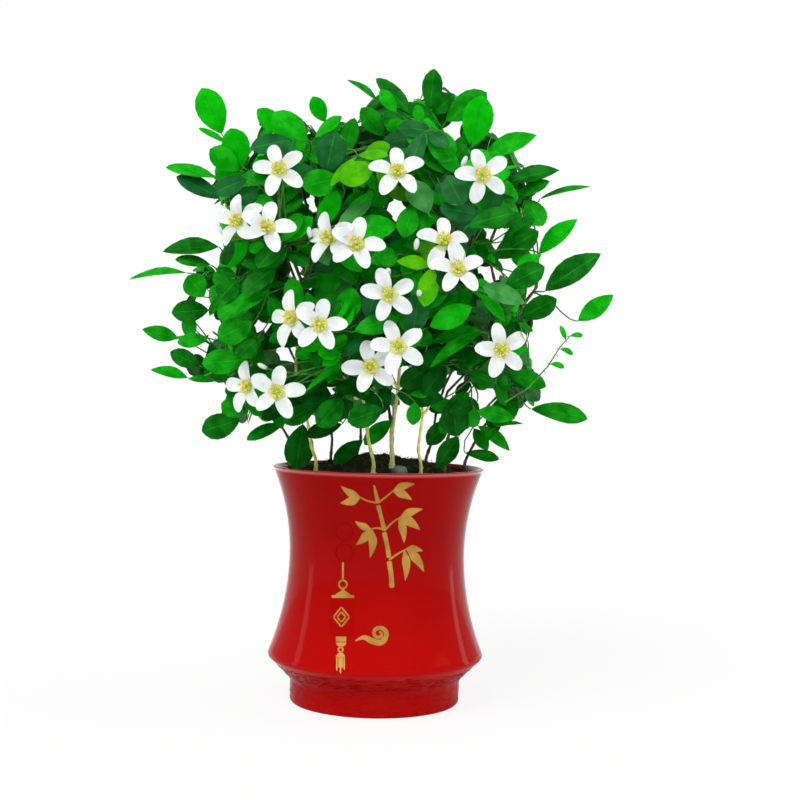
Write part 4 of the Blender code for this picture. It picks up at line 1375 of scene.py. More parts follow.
def barked(name, line, radii, phase):
    """A limb as a fine tube, swollen at each old leaf scar and rough with bark."""
    length = sum((b - a).length for a, b in zip(line, line[1:]))
    knots = [(*point, radius) for point, radius in zip(line, radii)]
    curve = bpy.data.curves.new(name, "CURVE")
    curve.dimensions = "3D"
    curve.bevel_depth = 1.0
    curve.bevel_resolution = 4
    curve.use_fill_caps = True
    spline = curve.splines.new("POLY")
    count = max(int(length / BARK_STEP), FEWEST_BARK_SPANS)
    spline.points.add(count)
    for i, spot in enumerate(spline.points):
        x, y, z, radius = along_line(knots, i / count)
        along = length * i / count + phase
        scar = (along % KNOT_SPACING) - KNOT_SPACING / 2
        swell = 1.0 + KNOT_SWELL * math.exp(-((scar / KNOT_LENGTH) ** 2))
        spot.co = (x, y, z, 1.0)
        spot.radius = max(radius, BOUGH_TIP * THINNEST_BARK) * swell
    choose(placed(name, curve))
    bpy.ops.object.convert(target="MESH")
    with editing():
        bpy.ops.mesh.remove_doubles(threshold=WELD)
        bpy.ops.mesh.normals_make_consistent(inside=False)
    return bpy.context.object


def model_limbs(spaces, finish):
    """Each stem with its two boughs as one barked piece. Returns a search tree of them all."""
    grain = bpy.data.textures.new("bark_grain", "CLOUDS")
    grain.noise_scale = BARK_GRAIN
    grain.noise_depth = 3
    leaders, sides = share_out(spaces)
    points, faces = [], []
    for i, row in enumerate(STEMS):
        stem = stem_limb(row)
        seeds = [spaces[taken[i]][1] for taken in (leaders, sides)]
        limbs = [stem, *bough_limbs(*stem, *seeds)]
        tubes = [
            barked(f"limb_{k}", line, radii, 0.004 * i + 0.003 * k) for k, (line, radii) in enumerate(limbs)
        ]
        piece = joined(tubes, f"stem_and_boughs_{i + 1:02d}")
        relief = piece.modifiers.new("Bark", "DISPLACE")
        relief.texture = grain
        relief.texture_coords = "LOCAL"
        relief.strength = BARK_RELIEF
        relief.mid_level = 0.5
        apply_modifiers(piece)
        nodes = [f"stem_{i + 1:02d}", f"bough_{i + 1:02d}_leader", f"bough_{i + 1:02d}_side"]
        settle(surfaced(piece, finish[STEM_BARKS[i]]), ROUGH_SMOOTHING, "bark", *nodes)
        for line, radii in limbs:
            corners, rows, _ = tube_shape(line, [radius + LIMB_MARGIN for radius in radii], 6)
            faces.extend([tuple(len(points) + k for k in r) for r in rows])
            points.extend(corners.tolist())
    return BVHTree.FromPolygons(points, faces)


# Leaves

def blade_half_width(share, widest, blunt):
    """Half the outline's width at a share of its length, 1 where it is widest."""
    if share < widest:
        return math.sin(math.pi / 2 * share / widest) ** 0.85
    beyond = (share - widest) / (1 - widest)
    return (1 - beyond ** (1.7 + 2.2 * blunt)) ** (0.62 + 0.30 * (1 - blunt))


def ring_of(vert, rings):
    """Which ring of a unit ball a corner lies on, counted from its foot."""
    return round(math.acos(max(-1.0, min(1.0, -vert.co.z))) / math.pi * rings)


def model_blade(name, width, widest, blunt, fold, arch, curl, wave):
    """A leaflet a unit long: base at the origin, length along Z, face along Y.

    Its surfaces are the face, the underside and the midrib.
    """
    deselect_all()
    half_step = (0, 0, math.pi / BLADE_SEGMENTS)
    bpy.ops.mesh.primitive_uv_sphere_add(
        segments=BLADE_SEGMENTS, ring_count=BLADE_RINGS, radius=1.0, rotation=half_step
    )
    blade = named(name)
    bpy.ops.object.transform_apply(rotation=True)
    for vert in blade.data.vertices:
        ring = ring_of(vert, BLADE_RINGS)
        pole = ring in (0, BLADE_RINGS)
        share = BLADE_SHARES[ring]
        swing = math.atan2(abs(vert.co.y), abs(vert.co.x)) / (math.tau / BLADE_SEGMENTS)
        column = 0.0 if pole else BLADE_COLUMNS[2 - round(swing)]
        half = 0.0 if pole else width / 2 * blade_half_width(share, widest, blunt)
        x = math.copysign(half * column, vert.co.x)
        rise = fold * abs(x) - arch * share**2 - curl * (x / (width / 2)) ** 2 * share
        rise += wave * math.sin(9.0 * share + 2.0 * math.copysign(1.0, x)) * column
        swell = (0.5 + 0.5 * math.sin(math.pi * share)) * (0 < share < 1)
        thick = BLADE_THICKNESS / 2 * (1 - column**2) * swell
        vert.co = (x, rise + (thick if vert.co.y >= 0 else -thick), share)
    for face in blade.data.polygons:
        if face.normal.y < 0:
            face.material_index = 1
        elif abs(face.center.x) < width * 0.01:
            face.material_index = 2
    fix_normals(blade)
    return shape_of(blade)


def blade_proxy(width, fold, arch):
    """A few corners that stand for a leaflet when it is tested against its neighbours."""
    corners = [(0.0, 0.0, 0.0)]
    for share in (0.3, 0.6, 0.88):
        half = width / 2 * (1.0 if share < 0.7 else 0.62)
        for side in (-1, 0, 1):
            corners.append((side * half, fold * half * abs(side) - arch * share**2, share))
    corners.append((0.0, -arch, 1.0))
    faces = [(0, 2, 1), (0, 3, 2)]
    for i in (1, 4):
        faces += [(i, i + 1, i + 4, i + 3), (i + 1, i + 2, i + 5, i + 4)]
    faces += [(7, 8, 10), (8, 9, 10)]
    return np.array(corners), faces


def facing(point, rng):
    """The way a blade at a point looks: out from the crown's axis, and more up the higher it is."""
    out = Vector((point.x, point.y, 0.0)).normalized()
    swing = Matrix.Rotation(rng.uniform(-FACE_SWING, FACE_SWING), 3, "Z")
    lift = rng.uniform(*FACE_LIFT) + max(point.z - CROWN_MIDDLE.z, 0.0) / CROWN_HALF.z * FACE_LIFT_MORE
    return (swing @ out + upward(lift)).normalized()


def in_reach(point):
    return abs(point[0]) < CROWN_HALF.x and abs(point[1]) < CROWN_HALF.y and point[2] < CROWN_TOP


def crown_share(point):
    """1 on the crown's skin, less inside it."""
    reach = Vector(point) - CROWN_MIDDLE
    return sum(abs(reach[i] / CROWN_HALF[i]) ** CROWN_POWER for i in range(3))


def inside_edge(point):
    """True where a point lies in the crown and shows inside its edge."""
    return crown_share(point) < 1.0 and within_edge(*shown_at(point))


def well_inside(point, margin):
    """True where a point shows inside the crown's edge with room to spare all round."""
    around = [Vector((math.cos(turn), 0.0, math.sin(turn))) * margin for turn in steps(0, math.tau, 8)[:-1]]
    return all(within_edge(*shown_at(point + way)) for way in around)


def on_crown(turn, height, share):
    """The point of the crown's skin at an angle and a height, drawn in to a share of its distance."""
    up = min(abs(height - CROWN_MIDDLE.z) / CROWN_HALF.z, 1.0) ** CROWN_POWER
    across, back = math.cos(turn), math.sin(turn)
    flat = abs(across / CROWN_HALF.x) ** CROWN_POWER + abs(back / CROWN_HALF.y) ** CROWN_POWER
    radius = ((1.0 - up) / flat) ** (1.0 / CROWN_POWER) * share
    return Vector((across * radius, back * radius, height))


def inside_space(spaces, own, point):
    """True where a point lies in the own space or only a little beyond it."""
    seed = spaces[own][1]
    for i, (_, other) in enumerate(spaces):
        if i != own:
            apart = 2 * (other - seed).length
            if ((point - other).length_squared - (point - seed).length_squared) / apart < -SPACE_OVERRUN:
                return False
    return True


class Room:
    """What fills the crown, kept by cell, so that a new shape is tested only against its neighbours."""

    cell = 0.03

    def __init__(self, limbs):
        self.limbs = limbs
        self.cells = {}
        self.shown = []
        self.blooms = []

    def cells_of(self, points):
        low, high = np.floor(points.min(0) / self.cell), np.floor(points.max(0) / self.cell)
        spans = [range(int(a), int(b) + 1) for a, b in zip(low, high)]
        return itertools.product(*spans)

    def free(self, points, faces):
        """A search tree of a shape that touches nothing, or None."""
        tree = search_tree(points, faces)
        if tree.overlap(self.limbs):
            return None
        seen = set()
        for cell in self.cells_of(points):
            for other in self.cells.get(cell, ()):
                if id(other) not in seen:
                    seen.add(id(other))
                    if tree.overlap(other):
                        return None
        return tree

    def take(self, points, tree):
        for cell in self.cells_of(points):
            self.cells.setdefault(cell, []).append(tree)

    def crosses(self, line):
        """True where a stalk would show in one of the sky gaps or in front of a bloom."""
        for point in line:
            spot = shown_at(point)
            if any(near(spot, gap, gap[2] + GAP_MARGIN) for gap in SKY_GAPS):
                return True
            if any(point.y < bloom[2] and near(spot, bloom, BLOOM_SHOWN) for bloom in self.blooms):
                return True
        return False

    def hides(self, base, tip, half_width):
        """True where a blade would cover something that has to show, or one of the sky gaps."""
        for share, part in ((0.2, 0.9), (0.5, 0.9), (0.8, 0.7)):
            point = base.lerp(tip, share)
            spot = shown_at(point)
            reach = half_width / PIXEL * part
            for column, row, radius, depth in self.shown:
                if point.y < depth and near(spot, (column, row), reach + radius):
                    return True
        return False


def outer_part(line):
    line = line[len(line) // 3:]
    points, faces, _ = tube_shape(line, [LEAF_STALK_TIP] * len(line), 3)
    return points, faces


class Growth:
    """The crown as it grows: its leaflets by tone, its stalks and its twigs."""

    def __init__(self, room):
        self.room = room
        self.leaflets = {tone: [] for tone in UNDERSIDES}
        self.stalks = []
        self.twigs = []

    def leaflet(self, kind, base, along, face, length, width, tone, within=None):
        """Adds a leaflet if it touches nothing and stays within its bounds."""
        along = along.normalized()
        side = face.cross(along).normalized()
        front = along.cross(side).normalized()
        matrix = np.identity(4)
        matrix[:3, :3] = np.array((side, front, along)).T * np.array((width * length, length, length))
        matrix[:3, 3] = base
        corners, faces = PROXIES[kind]
        points = moved(corners, matrix)
        if within and not all(within(point) for point in points):
            return False
        tree = self.room.free(points, faces)
        if tree is None:
            return False
        self.room.take(points, tree)
        self.leaflets[tone].append((SHAPES[kind], matrix))
        return True

    def clear(self, line):
        """True where a stalk's outer part would touch nothing and all of it would show in no gap."""
        return not self.room.crosses(line) and self.room.free(*outer_part(line)) is not None

    def stalk(self, line, radii, sides):
        self.stalks.append((tube_shape(line, radii, sides), STILL))
        if len(line) > 2:
            points, faces = outer_part(line)
            self.room.take(points, search_tree(points, faces))

    def twig(self, line, radii):
        points, faces, _ = tube_shape(line, radii, 4)
        self.room.take(points, search_tree(points, faces))
        self.twigs.append((tube_shape(line, radii, 6), STILL))


def tone_at(point, rng):
    """Painted light and shade: a brighter green at the crown's skin and its top, a deeper one inside and low
    down.
    """
    out = crown_share(point) ** (1 / CROWN_POWER)
    high = (point.z - CROWN_MIDDLE.z) / CROWN_HALF.z
    light = 0.75 * out + 0.30 * high + rng.gauss(0, 0.26)
    if rng.random() < PALER_SHARE:
        return "bluish" if rng.random() < 0.5 else "pale"
    if rng.random() < YOUNG_SHARE and light > YOUNG_FROM:
        return "young"
    for least, tone in TONES_BY_LIGHT:
        if light > least:
            return tone
    return "dusky"


def side_leaflets(growth, line, face, rng, tone, largest, within):
    """Alternate leaflets along a stalk. Returns how many found room, and the share where the last one is."""
    found, last = 0, 0.0
    hand = rng.choice((-1, 1))
    for share in LEAFLET_PLACES:
        hand = -hand
        spot = point_along(line, share)
        along = (point_along(line, min(share + 0.1, 1.0)) - spot).normalized()
        side = along.cross(face).normalized() * hand
        spread = LEAFLET_SPREAD * rng.uniform(0.8, 1.15)
        way = along * math.cos(spread) + side * math.sin(spread) + face * rng.uniform(-0.12, 0.16)
        way.normalize()
        tilt = (face + side * rng.uniform(-0.35, 0.25) + along * rng.uniform(-0.2, 0.2)).normalized()
        length = largest * (0.66 + 0.30 * share) * rng.uniform(0.9, 1.08)
        kind = rng.choice(("broad", "broad", "pointed", "round", "arched"))
        base = spot + way * LEAFLET_STALK
        if growth.room.hides(base, base + way * length, length * LEAFLET_COVERS):
            continue
        width = rng.uniform(0.9, 1.12)
        if growth.leaflet(kind, base, way, tilt, length, width, tone, within):
            growth.stalk([spot, base + way * length * 0.03], (LEAF_STALK_TIP * 0.9, LEAF_STALK_TIP * 0.7), 3)
            found, last = found + 1, share
    return found, last


def stalk_line(growth, shoot, end, arrival, rng):
    """A stalk from somewhere on a shoot to its end, clear of gaps and blooms if such a start is found."""
    root, tip = shoot
    for _ in range(STARTS_TRIED):
        start = root.lerp(tip, rng.uniform(0.05, SHOOT_KEPT))
        ahead = (end - start).normalized()
        rise = (tip - root).normalized() * 0.4 + ahead
        line = bent(start, rise, (arrival + ahead).normalized(), end, STALK_SPANS)
        if not growth.room.crosses(line):
            break
    return line


def shown_leaf(growth, spaces, row, rng, behind=0.0):
    """A leaf whose last leaflet shows at its own place in the picture."""
    tip_column, tip_row, base_column, base_row, shown_width, tone = row
    depth = (crown_front(base_column, base_row).y + crown_front(tip_column, tip_row).y) / 2 + behind
    if not inside_edge(seen_at(tip_column, tip_row, depth)):
        depth *= OUTER_DEPTH
    base = seen_at(base_column, base_row, depth + 0.005)
    tip = seen_at(tip_column, tip_row, depth - 0.004)
    length = (tip - base).length
    if not in_reach(tip):
        tip = base + (tip - base) * 0.97
    ratio = shown_width * PIXEL / length
    kind = "round" if ratio > ROUND_FROM else "slender" if ratio < SLENDER_TO else "broad"
    if row[:2] in POINTED_TIPS:
        kind = "pointed"
    full = BLADES[kind][0]
    width = max(ratio, full * NARROWEST) / full
    turned = math.acos(min(1.0, ratio / (full * width)))
    along = (tip - base).normalized()
    toward = Vector((0.0, -1.0, 0.10))
    side = along.cross(toward).normalized()
    toward = side.cross(along).normalized()
    hand = 1 if side.dot(upward(1.0)) > 0 else -1
    face = (toward * math.cos(turned) + side * math.sin(turned) * hand).normalized()
    shoot = shoot_inside(spaces[nearest(spaces, base)][1])
    for attempt in range(SHOWN_TRIED):
        place = base + Vector((0.0, -SHOWN_STEP * attempt, 0.0))
        if growth.leaflet(kind, place, along, face, length, width, tone):
            line = stalk_line(growth, shoot, place, along, rng)
            growth.stalk(line, steps(LEAF_STALK_ROOT, LEAF_STALK_TIP, STALK_SPANS), 5)
            side_leaflets(growth, line, face, rng, tone, length * 0.9, inside_edge)
            for share, reach in ((0.25, 0.28), (0.55, 0.40), (0.85, 0.22)):
                spot = shown_at(place.lerp(place + along * length, share))
                growth.room.shown.append((*spot, shown_width * reach, place.y))
            return


def free_leaf(growth, spaces, own, start, heading, rng):
    """A compound leaf that grows from a shoot or a twig. Returns how many leaflets found room."""
    length = rng.uniform(*LEAF_LENGTH)
    end = start + heading * length
    while not (inside_space(spaces, own, end) and inside_edge(end)):
        length *= LEAF_SHORTENING
        end = start + heading * length
        if length < SHORTEST_LEAF:
            return 0
    arrival = (heading + upward(rng.uniform(-0.5, 0.1))).normalized()
    line = bent(start, heading, arrival, end, LEAF_SPANS)
    face = facing(end, rng)
    if abs(face.dot(arrival)) > ALMOST_ALONG:
        face = (face + upward(1.0)).normalized()
    tone = tone_at(end, rng)
    largest = rng.uniform(*LEAFLET_LENGTH) * (0.8 if length < LEAF_LENGTH[0] else 1.0)
    base = end + arrival * LEAFLET_STALK / 2
    if not growth.clear(line):
        return 0
    kind = rng.choice(("broad", "pointed", "broad", "arched"))
    ended = not growth.room.hides(base, base + arrival * largest, largest * LEAFLET_COVERS)
    ended = ended and growth.leaflet(kind, base, arrival, face, largest, 1.0, tone, inside_edge)
    found, last = side_leaflets(growth, line, face, rng, tone, largest, inside_edge)
    if ended or found:
        reach = 1.0 if ended else last
        kept = [point_along(line, share * reach) for share in steps(0.0, 1.0, LEAF_SPANS)]
        growth.stalk(kept, steps(LEAF_STALK_ROOT, LEAF_STALK_TIP, LEAF_SPANS), 4)
    return found + ended


def grow_mass(growth, spaces, own):
    """The shoot of a mass with its side twigs, and leaves in a spiral round them all."""
    rng = random.Random(100 + own)
    root, end = shoot_inside(spaces[own][1])
    way = (end - root).normalized()
    side = way.orthogonal().normalized()
    for reach in (1.0, 0.9, 0.8, SHOOT_KEPT):
        tip = root.lerp(end, reach)
        if not growth.room.hides(root.lerp(tip, 0.5), tip, SHOOT_TIP):
            break
    end = tip
    bearers = [(root, end)]
    growth.twig(bent(root, way, way, end, TWIG_SPANS), steps(SHOOT_ROOT, SHOOT_TIP, TWIG_SPANS))
    found = 0
    for k in range(TWIGS):
        turn = Matrix.Rotation(k * GOLDEN_TURN + 0.7 * own, 3, way)
        start = root.lerp(end, 0.15 + 0.7 * k / TWIGS)
        heading = (way * 0.7 + turn @ side).normalized()
        tip = start + heading * TWIG_LENGTH
        line = bent(start, heading, (heading + upward(0.5)).normalized(), tip, TWIG_SPANS)
        seen = growth.room.hides(start, tip, SHOOT_TIP) or growth.room.crosses(line)
        if inside_edge(start + heading * TWIG_LENGTH * TWIG_MARGIN) and not seen:
            growth.twig(line, steps(SHOOT_TIP, LEAF_STALK_ROOT, TWIG_SPANS))
            bearers.append((start, tip))
            face = (way + scatter(rng, 0.25)).normalized()
            tone = tone_at(tip, rng)
            found += side_leaflets(growth, line, face, rng, tone, LEAFLET_LENGTH[0], inside_edge)[0]
    for k in range(LEAVES_TRIED):
        first, last = bearers[k % len(bearers)]
        share = 1.0 - ((k * GOLDEN_SHARE) % 1.0)
        turn = Matrix.Rotation(k * GOLDEN_TURN + rng.uniform(-0.4, 0.4), 3, way)
        lean = math.radians(LEAF_LEAN + LEAF_LEAN_MORE * (1 - share))
        heading = way * math.cos(lean) + (turn @ side) * math.sin(lean)
        heading = (heading + upward(0.10)).normalized()
        found += free_leaf(growth, spaces, own, first.lerp(last, 0.1 + 0.88 * share), heading, rng)
        if found >= LEAFLETS_WANTED:
            break


def small_shoot(growth):
    """The thin young shoot at the right with its small leaflets."""
    line = [crown_front(*place) for place in SMALL_SHOOT]
    growth.stalk(line, steps(LEAF_STALK_ROOT, LEAF_STALK_TIP * 0.8, len(line) - 1), 5)
    for tip_column, tip_row, base_column, base_row, shown_width in SMALL_LEAFLETS:
        base, tip = crown_front(base_column, base_row), crown_front(tip_column, tip_row)
        along = tip - base
        face = Vector((0.15, -1.0, 0.35)).normalized()
        width = shown_width * PIXEL / along.length / BLADES["broad"][0]
        growth.leaflet("broad", base, along, face, along.length, width, "fresh")
        growth.stalk([base - along * 0.2, base + along * 0.05], (0.0003, 0.0003), 3)


# Blooms

def petal_shape():
    """A petal a unit long: narrow foot, blunt broad end, a shallow groove, and its end bent back."""
    deselect_all()
    bpy.ops.mesh.primitive_uv_sphere_add(segments=12, ring_count=PETAL_RINGS, radius=1.0)
    petal = named("petal")
    for vert in petal.data.vertices:
        ring = ring_of(vert, PETAL_RINGS)
        share, width = PETAL_OUTLINE[ring]
        pole = ring in (0, PETAL_RINGS)
        column = 0.0 if pole else math.cos(math.atan2(abs(vert.co.y), abs(vert.co.x)))
        x = math.copysign(width * PETAL_WIDTH / 2 * column, vert.co.x)
        thick = 0.0 if pole else PETAL_THICKNESS * (1 - column**2)
        cup = 0.70 * abs(x) ** 1.4 - 0.06 * math.exp(-((x / 0.07) ** 2)) * math.sin(math.pi * share)
        cup += 0.016 * math.sin(9 * share + 3.0 * math.copysign(column, x))
        bend = PETAL_LIFT * share - 0.34 * share**2.4
        vert.co = (x, cup + bend + (thick if vert.co.y >= 0 else -thick), share)
    second_surface(petal, lambda face: face.center.z < PETAL_FOOT)
    fix_normals(petal)
    return shape_of(petal)


def ball_shape(name, segments, rings, size):
    deselect_all()
    bpy.ops.mesh.primitive_uv_sphere_add(segments=segments, ring_count=rings, radius=0.5)
    ball = named(name)
    for vert in ball.data.vertices:
        vert.co = Vector(size) * vert.co
    return shape_of(ball)


def turned_to(along, up=None):
    """A turn that takes Z to a direction and Y as near as it goes to a second one."""
    along = along.normalized()
    up = up or (Vector((0, 0, 1)) if abs(along.z) < 0.95 else Vector((1, 0, 0)))
    side = up.cross(along).normalized()
    front = along.cross(side).normalized()
    return Matrix((side, front, along)).transposed().to_4x4()


def drawn_in(turn, height):
    """The place for a bloom of the back at an angle and a height, far enough in to be hidden in front."""
    depth = BLOOM_DEPTH
    centre = on_crown(turn, height, depth)
    while not (inside_edge(centre) and well_inside(centre, OTHER_BLOOM_MARGIN)):
        depth -= 0.02
        centre = on_crown(turn, height, depth)
    return centre


def near_gap(centre):
    spot = shown_at(centre)
    return any(near(spot, gap, BLOOM_SHOWN + gap[2]) for gap in SKY_GAPS)


def bloom_places():
    """Clusters of blooms: centre, axis and turn of the first petal, and True for those of the front."""
    clusters = []
    for cluster in FRONT_BLOOMS:
        blooms = []
        for column, row, ahead, spin, right, up in cluster:
            centre = seen_at(column, row, crown_front(column, row).y - ahead)
            blooms.append((centre, Vector((right, -1.0, up)).normalized(), math.radians(spin)))
        clusters.append((blooms, True))
    rng = random.Random(17)
    for i in range(OTHER_BLOOMS):
        turn = math.pi / 2 + OTHER_BLOOM_FAN * (2 * (i + 0.5) / OTHER_BLOOMS - 1)
        height = BLOOM_HEIGHTS[i % len(BLOOM_HEIGHTS)]
        centre = drawn_in(turn, height)
        for shift in OTHER_BLOOM_SHIFTS:
            if near_gap(centre):
                centre = drawn_in(turn + shift, height)
        if near_gap(centre):
            continue
        axis = (outward(centre) + upward(BLOOM_LIFT)).normalized()
        axis = (axis + scatter(rng, BLOOM_TURNING)).normalized()
        clusters.append(([(centre, axis, rng.uniform(0, math.tau))], False))
    return clusters


def add_petals(parts, petal, bloom, rng):
    opening = rng.uniform(0.05, 0.30)
    for k in range(PETALS):
        spin = Matrix.Rotation(math.tau * k / PETALS + rng.gauss(0, 0.06), 4, "Z")
        lean = Matrix.Rotation(math.pi / 2 - opening + rng.gauss(0, 0.14), 4, "X")
        size = PETAL_LENGTH * rng.uniform(0.94, 1.06)
        parts["petal"].append((petal, bloom @ spin @ lean @ Matrix.Scale(size, 4)))


def add_stamens(parts, anther, bloom, axis, rng):
    """Filaments in a ring, every other one shorter, that bend outwards under their anthers."""
    for k in range(STAMENS):
        turn = math.tau * (k + 0.5) / STAMENS + rng.gauss(0, 0.1)
        out = Vector((math.cos(turn), math.sin(turn), 0.0))
        length = rng.uniform(*STAMEN_LENGTH) * (1.0 if k % 2 else 0.82)
        line = [out * 0.0011, out * 0.0016 + upward(length * 0.55)]
        line.append(line[1] + (out * 0.62 + upward(0.75)) * length * 0.45)
        line = [bloom @ point for point in line]
        parts["filament"].append((tube_shape(line, FILAMENT_RADII, 4), STILL))
        tip = Matrix.Translation(line[2]) @ turned_to(line[2] - line[1] + axis * 0.002)
        parts["anther"].append((anther, tip))


def grow_blooms(growth, spaces):
    """Places every bloom and bud with its stalk. Returns the copies of each kind of part."""
    petal = petal_shape()
    balls = {name: ball_shape(name, *row) for name, row in BALLS.items()}
    parts = {name: [] for name in BLOOM_PARTS}
    rng = random.Random(7)
    for cluster, shows in bloom_places():
        for centre, axis, turn in cluster:
            bloom = Matrix.Translation(centre) @ turned_to(axis) @ Matrix.Rotation(math.pi - turn, 4, "Z")
            add_petals(parts, petal, bloom, rng)
            add_stamens(parts, balls["anther"], bloom, axis, rng)
            style = [bloom @ upward(height) for height in STYLE_HEIGHTS]
            parts["pistil"].append((tube_shape(style, STYLE_RADII, 6), STILL))
            for kind, ball, height in BALLS_ON_AXIS:
                parts[kind].append((balls[ball], bloom @ Matrix.Translation(upward(height))))
            stalk_to(growth, spaces, centre - axis * BLOOM_FOOT, axis, rng)
            room_for_bloom(growth, centre, axis, shows)
        for _ in range(rng.choice((0, 1, 1, 2))):
            grow_bud(growth, spaces, parts, balls, cluster[0][0], rng)
    return parts


def room_for_bloom(growth, centre, axis, shows):
    """Keeps leaves out of a bloom and, on the front, out of the view of it."""
    turns = steps(0, math.tau, 8)[:-1]
    spokes = [turned_to(axis) @ Vector((math.cos(turn), math.sin(turn), 0.0)) for turn in turns]
    disc = [centre + spoke * PETAL_LENGTH for spoke in spokes]
    points = np.array([centre - axis * 0.004, *disc, centre + axis * 0.008])
    faces = [(pole, 1 + i, 1 + (i + 1) % 8) for pole in (0, 9) for i in range(8)]
    growth.room.take(points, search_tree(points, faces))
    if shows:
        spot = shown_at(centre)
        growth.room.shown.append((*spot, BLOOM_SHOWN, centre.y))
        growth.room.blooms.append((*spot, centre.y))


def stalk_to(growth, spaces, end, axis, rng):
    shoot = shoot_inside(spaces[nearest(spaces, end)][1])
    growth.stalk(stalk_line(growth, shoot, end, axis, rng), steps(*BLOOM_STALK, STALK_SPANS), 5)


def grow_bud(growth, spaces, parts, balls, centre, rng):
    """A closed bud beside a bloom, on a thin stalk."""
    out = outward(centre)
    axis = (out + upward(0.6) + scatter(rng, 0.4)).normalized()
    across = axis.cross(out).normalized() * rng.choice((-1, 1))
    place = centre + across * rng.uniform(0.014, 0.020) + axis * rng.uniform(0.006, 0.012) - out * 0.006
    if not inside_edge(place):
        return
    size = BUD_LENGTH * rng.uniform(0.7, 1.1)
    bud = Matrix.Translation(place) @ turned_to(axis)
    parts["petal"].append((balls["bud"], bud @ Matrix.Scale(size, 4)))
    parts["cup"].append((balls["cup"], bud @ Matrix.Translation(upward(-size * 0.46)) @ Matrix.Scale(0.7, 4)))
    stalk_to(growth, spaces, place - axis * size * 0.5, axis, rng)


# The whole crown

SHAPES = {name: model_blade(name, *row) for name, row in BLADES.items()}
PROXIES = {name: blade_proxy(row[0], row[3], row[4]) for name, row in BLADES.items()}


def grow_crown(spaces, limbs, finish):
    growth = Growth(Room(limbs))
    for column, row, radius in SKY_GAPS:
        growth.room.shown.append((column, row, radius, 10.0))
    stem = stem_limb(STEMS[OPEN_STEM])[0]
    for share in steps(0.0, 1.0, 30):
        point = point_along(stem, share)
        growth.room.shown.append((*shown_at(point), OPEN_STEM_REACH, point.y))
    parts = grow_blooms(growth, spaces)
    rng = random.Random(5)
    for row in SHOWN_LEAFLETS:
        shown_leaf(growth, spaces, row, rng)
    for row in BACK_LEAFLETS:
        shown_leaf(growth, spaces, row, rng, BACK_DEPTH)
    small_shoot(growth)
    for own in range(len(spaces)):
        grow_mass(growth, spaces, own)
    pieces = [
        ("leaflets_" + tone, copies, ["leaf_" + part for part in (tone, UNDERSIDES[tone], MIDRIBS[tone])])
        for tone, copies in growth.leaflets.items()
    ]
    pieces += [("leaf_stalks", growth.stalks, ["leaf_stalk"]), ("twigs", growth.twigs, ["twig_bark"])]
    pieces += [("bloom_" + kind + "s", parts[kind], surfaces) for kind, surfaces in BLOOM_PARTS.items()]
    foliage = [name for name, _ in spaces]
    for name, copies, surfaces in pieces:
        piece = gathered(name, copies, [finish[surface] for surface in surfaces])
        settle(piece, SMALL_SMOOTHING, "foliage", *foliage)


# Stage, lights and camera

# Suns: place, power, width in degrees, and whether the glaze mirrors them; then the strips at the sides
SUNS = (
    ("key", (-0.7, -1.1, 1.4), 1.65, 35, True),
    ("fill", (1.3, -0.1, 1.0), 0.45, 40, True),
    ("low_fill", (0.45, -1.2, 0.16), 0.95, 50, False),
)
STRIPS = {"left_strip": (-1.2, 0.02, 0.16), "right_strip": (1.1, 0.42, 0.16)}
STRIP_SIZE = (0.16, 0.8)
STRIP_AIM = 0.12
STRIP_POWER = 1.1
ROOM_LIGHT = 0.55
FLOOR_SIZE = 60
FLOOR_DROP = 0.0005
FLOOR_GLOW = 0.86


def lamp(name, kind, place, aim, power, **settings):
    data = bpy.data.lights.new(name, kind)
    data.energy = power
    for key, value in settings.items():
        setattr(data, key, value)
    light = placed(name, data)
    light.location = place
    light.rotation_euler = (Vector(aim) - Vector(place)).to_track_quat("-Z", "Y").to_euler()
    return light


def white_room():
    """White to look at, and dimmer as a light, so that the deep glaze keeps its colour."""
    world = bpy.data.worlds.new("white_room")
    world.use_nodes = True
    tree = world.node_tree
    dim = tree.nodes["Background"]
    dim.inputs["Strength"].default_value = ROOM_LIGHT
    seen = linked(tree, "ShaderNodeBackground", {}, {"Color": (1.0, 1.0, 1.0, 1.0), "Strength": 1.0})
    dim.inputs["Color"].default_value = (1.0, 1.0, 1.0, 1.0)
    path = tree.nodes.new("ShaderNodeLightPath")
    mix = linked(
        tree, "ShaderNodeMixShader", {},
        {0: path.outputs["Is Camera Ray"], 1: dim.outputs["Background"], 2: seen.outputs["Background"]},
    )
    tree.links.new(mix.outputs["Shader"], tree.nodes["World Output"].inputs["Surface"])
    return world


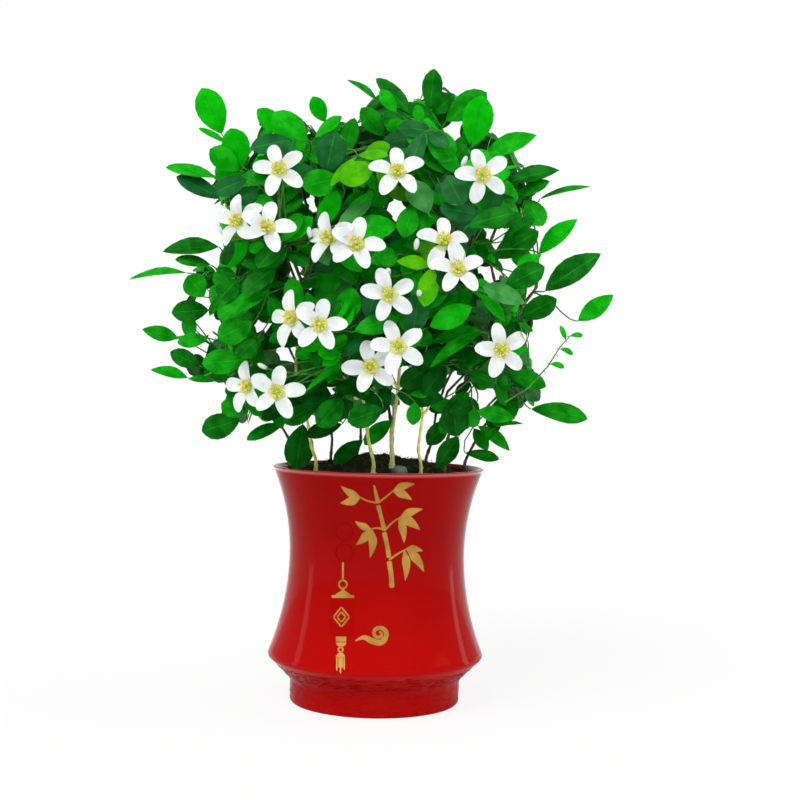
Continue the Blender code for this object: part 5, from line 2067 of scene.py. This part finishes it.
def floor_finish():
    """A pale floor that shows almost white to the camera and keeps only a trace of shadow."""
    made = mottled("pale_floor", (0.96, 0.96, 0.96), (0.97, 0.97, 0.97), (0.8, 0.9), patch=3.0)
    tree = made.node_tree
    lit = tree.nodes["Principled BSDF"].outputs["BSDF"]
    glow = linked(tree, "ShaderNodeEmission", {}, {"Color": (1.0, 1.0, 1.0, 1.0), "Strength": 1.0})
    path = tree.nodes.new("ShaderNodeLightPath")
    shown = linked(
        tree, "ShaderNodeMath", {"operation": "MULTIPLY"}, {0: path.outputs["Is Camera Ray"], 1: FLOOR_GLOW}
    )
    mix = linked(
        tree, "ShaderNodeMixShader", {},
        {0: shown.outputs["Value"], 1: lit, 2: glow.outputs["Emission"]},
    )
    tree.links.new(mix.outputs["Shader"], tree.nodes["Material Output"].inputs["Surface"])
    return made


def set_stage():
    deselect_all()
    bpy.ops.mesh.primitive_plane_add(size=FLOOR_SIZE, location=(0, 0, -FLOOR_DROP))
    floor = named("floor")
    surfaced(floor, floor_finish())
    bpy.context.scene.world = white_room()
    for name, place, power, spread, mirrored in SUNS:
        sun = lamp(name, "SUN", place, (0, 0, 0), power, angle=math.radians(spread))
        sun.visible_glossy = mirrored
    for name, place in STRIPS.items():
        lamp(
            name, "AREA", place, (0, 0, STRIP_AIM), STRIP_POWER, shape="RECTANGLE",
            size=STRIP_SIZE[0], size_y=STRIP_SIZE[1],
        )


def set_camera():
    data = bpy.data.cameras.new("camera")
    data.lens = CAMERA_LENS
    data.sensor_width = SENSOR
    camera = placed("camera", data)
    camera.location = CAMERA_PLACE
    camera.rotation_euler = CAMERA_TURN.to_euler()
    bpy.context.scene.camera = camera
    bpy.context.scene.view_settings.view_transform = "Standard"


def build():
    finish = finishes()
    set_camera()
    set_stage()
    model_pot(finish)
    model_sprig(finish)
    model_pendant(finish)
    model_cloud(finish)
    model_seals(finish)
    model_soil(finish)
    model_litter(finish)
    spaces = crown_spaces()
    limbs = model_limbs(spaces, finish)
    grow_crown(spaces, limbs, finish)


build()
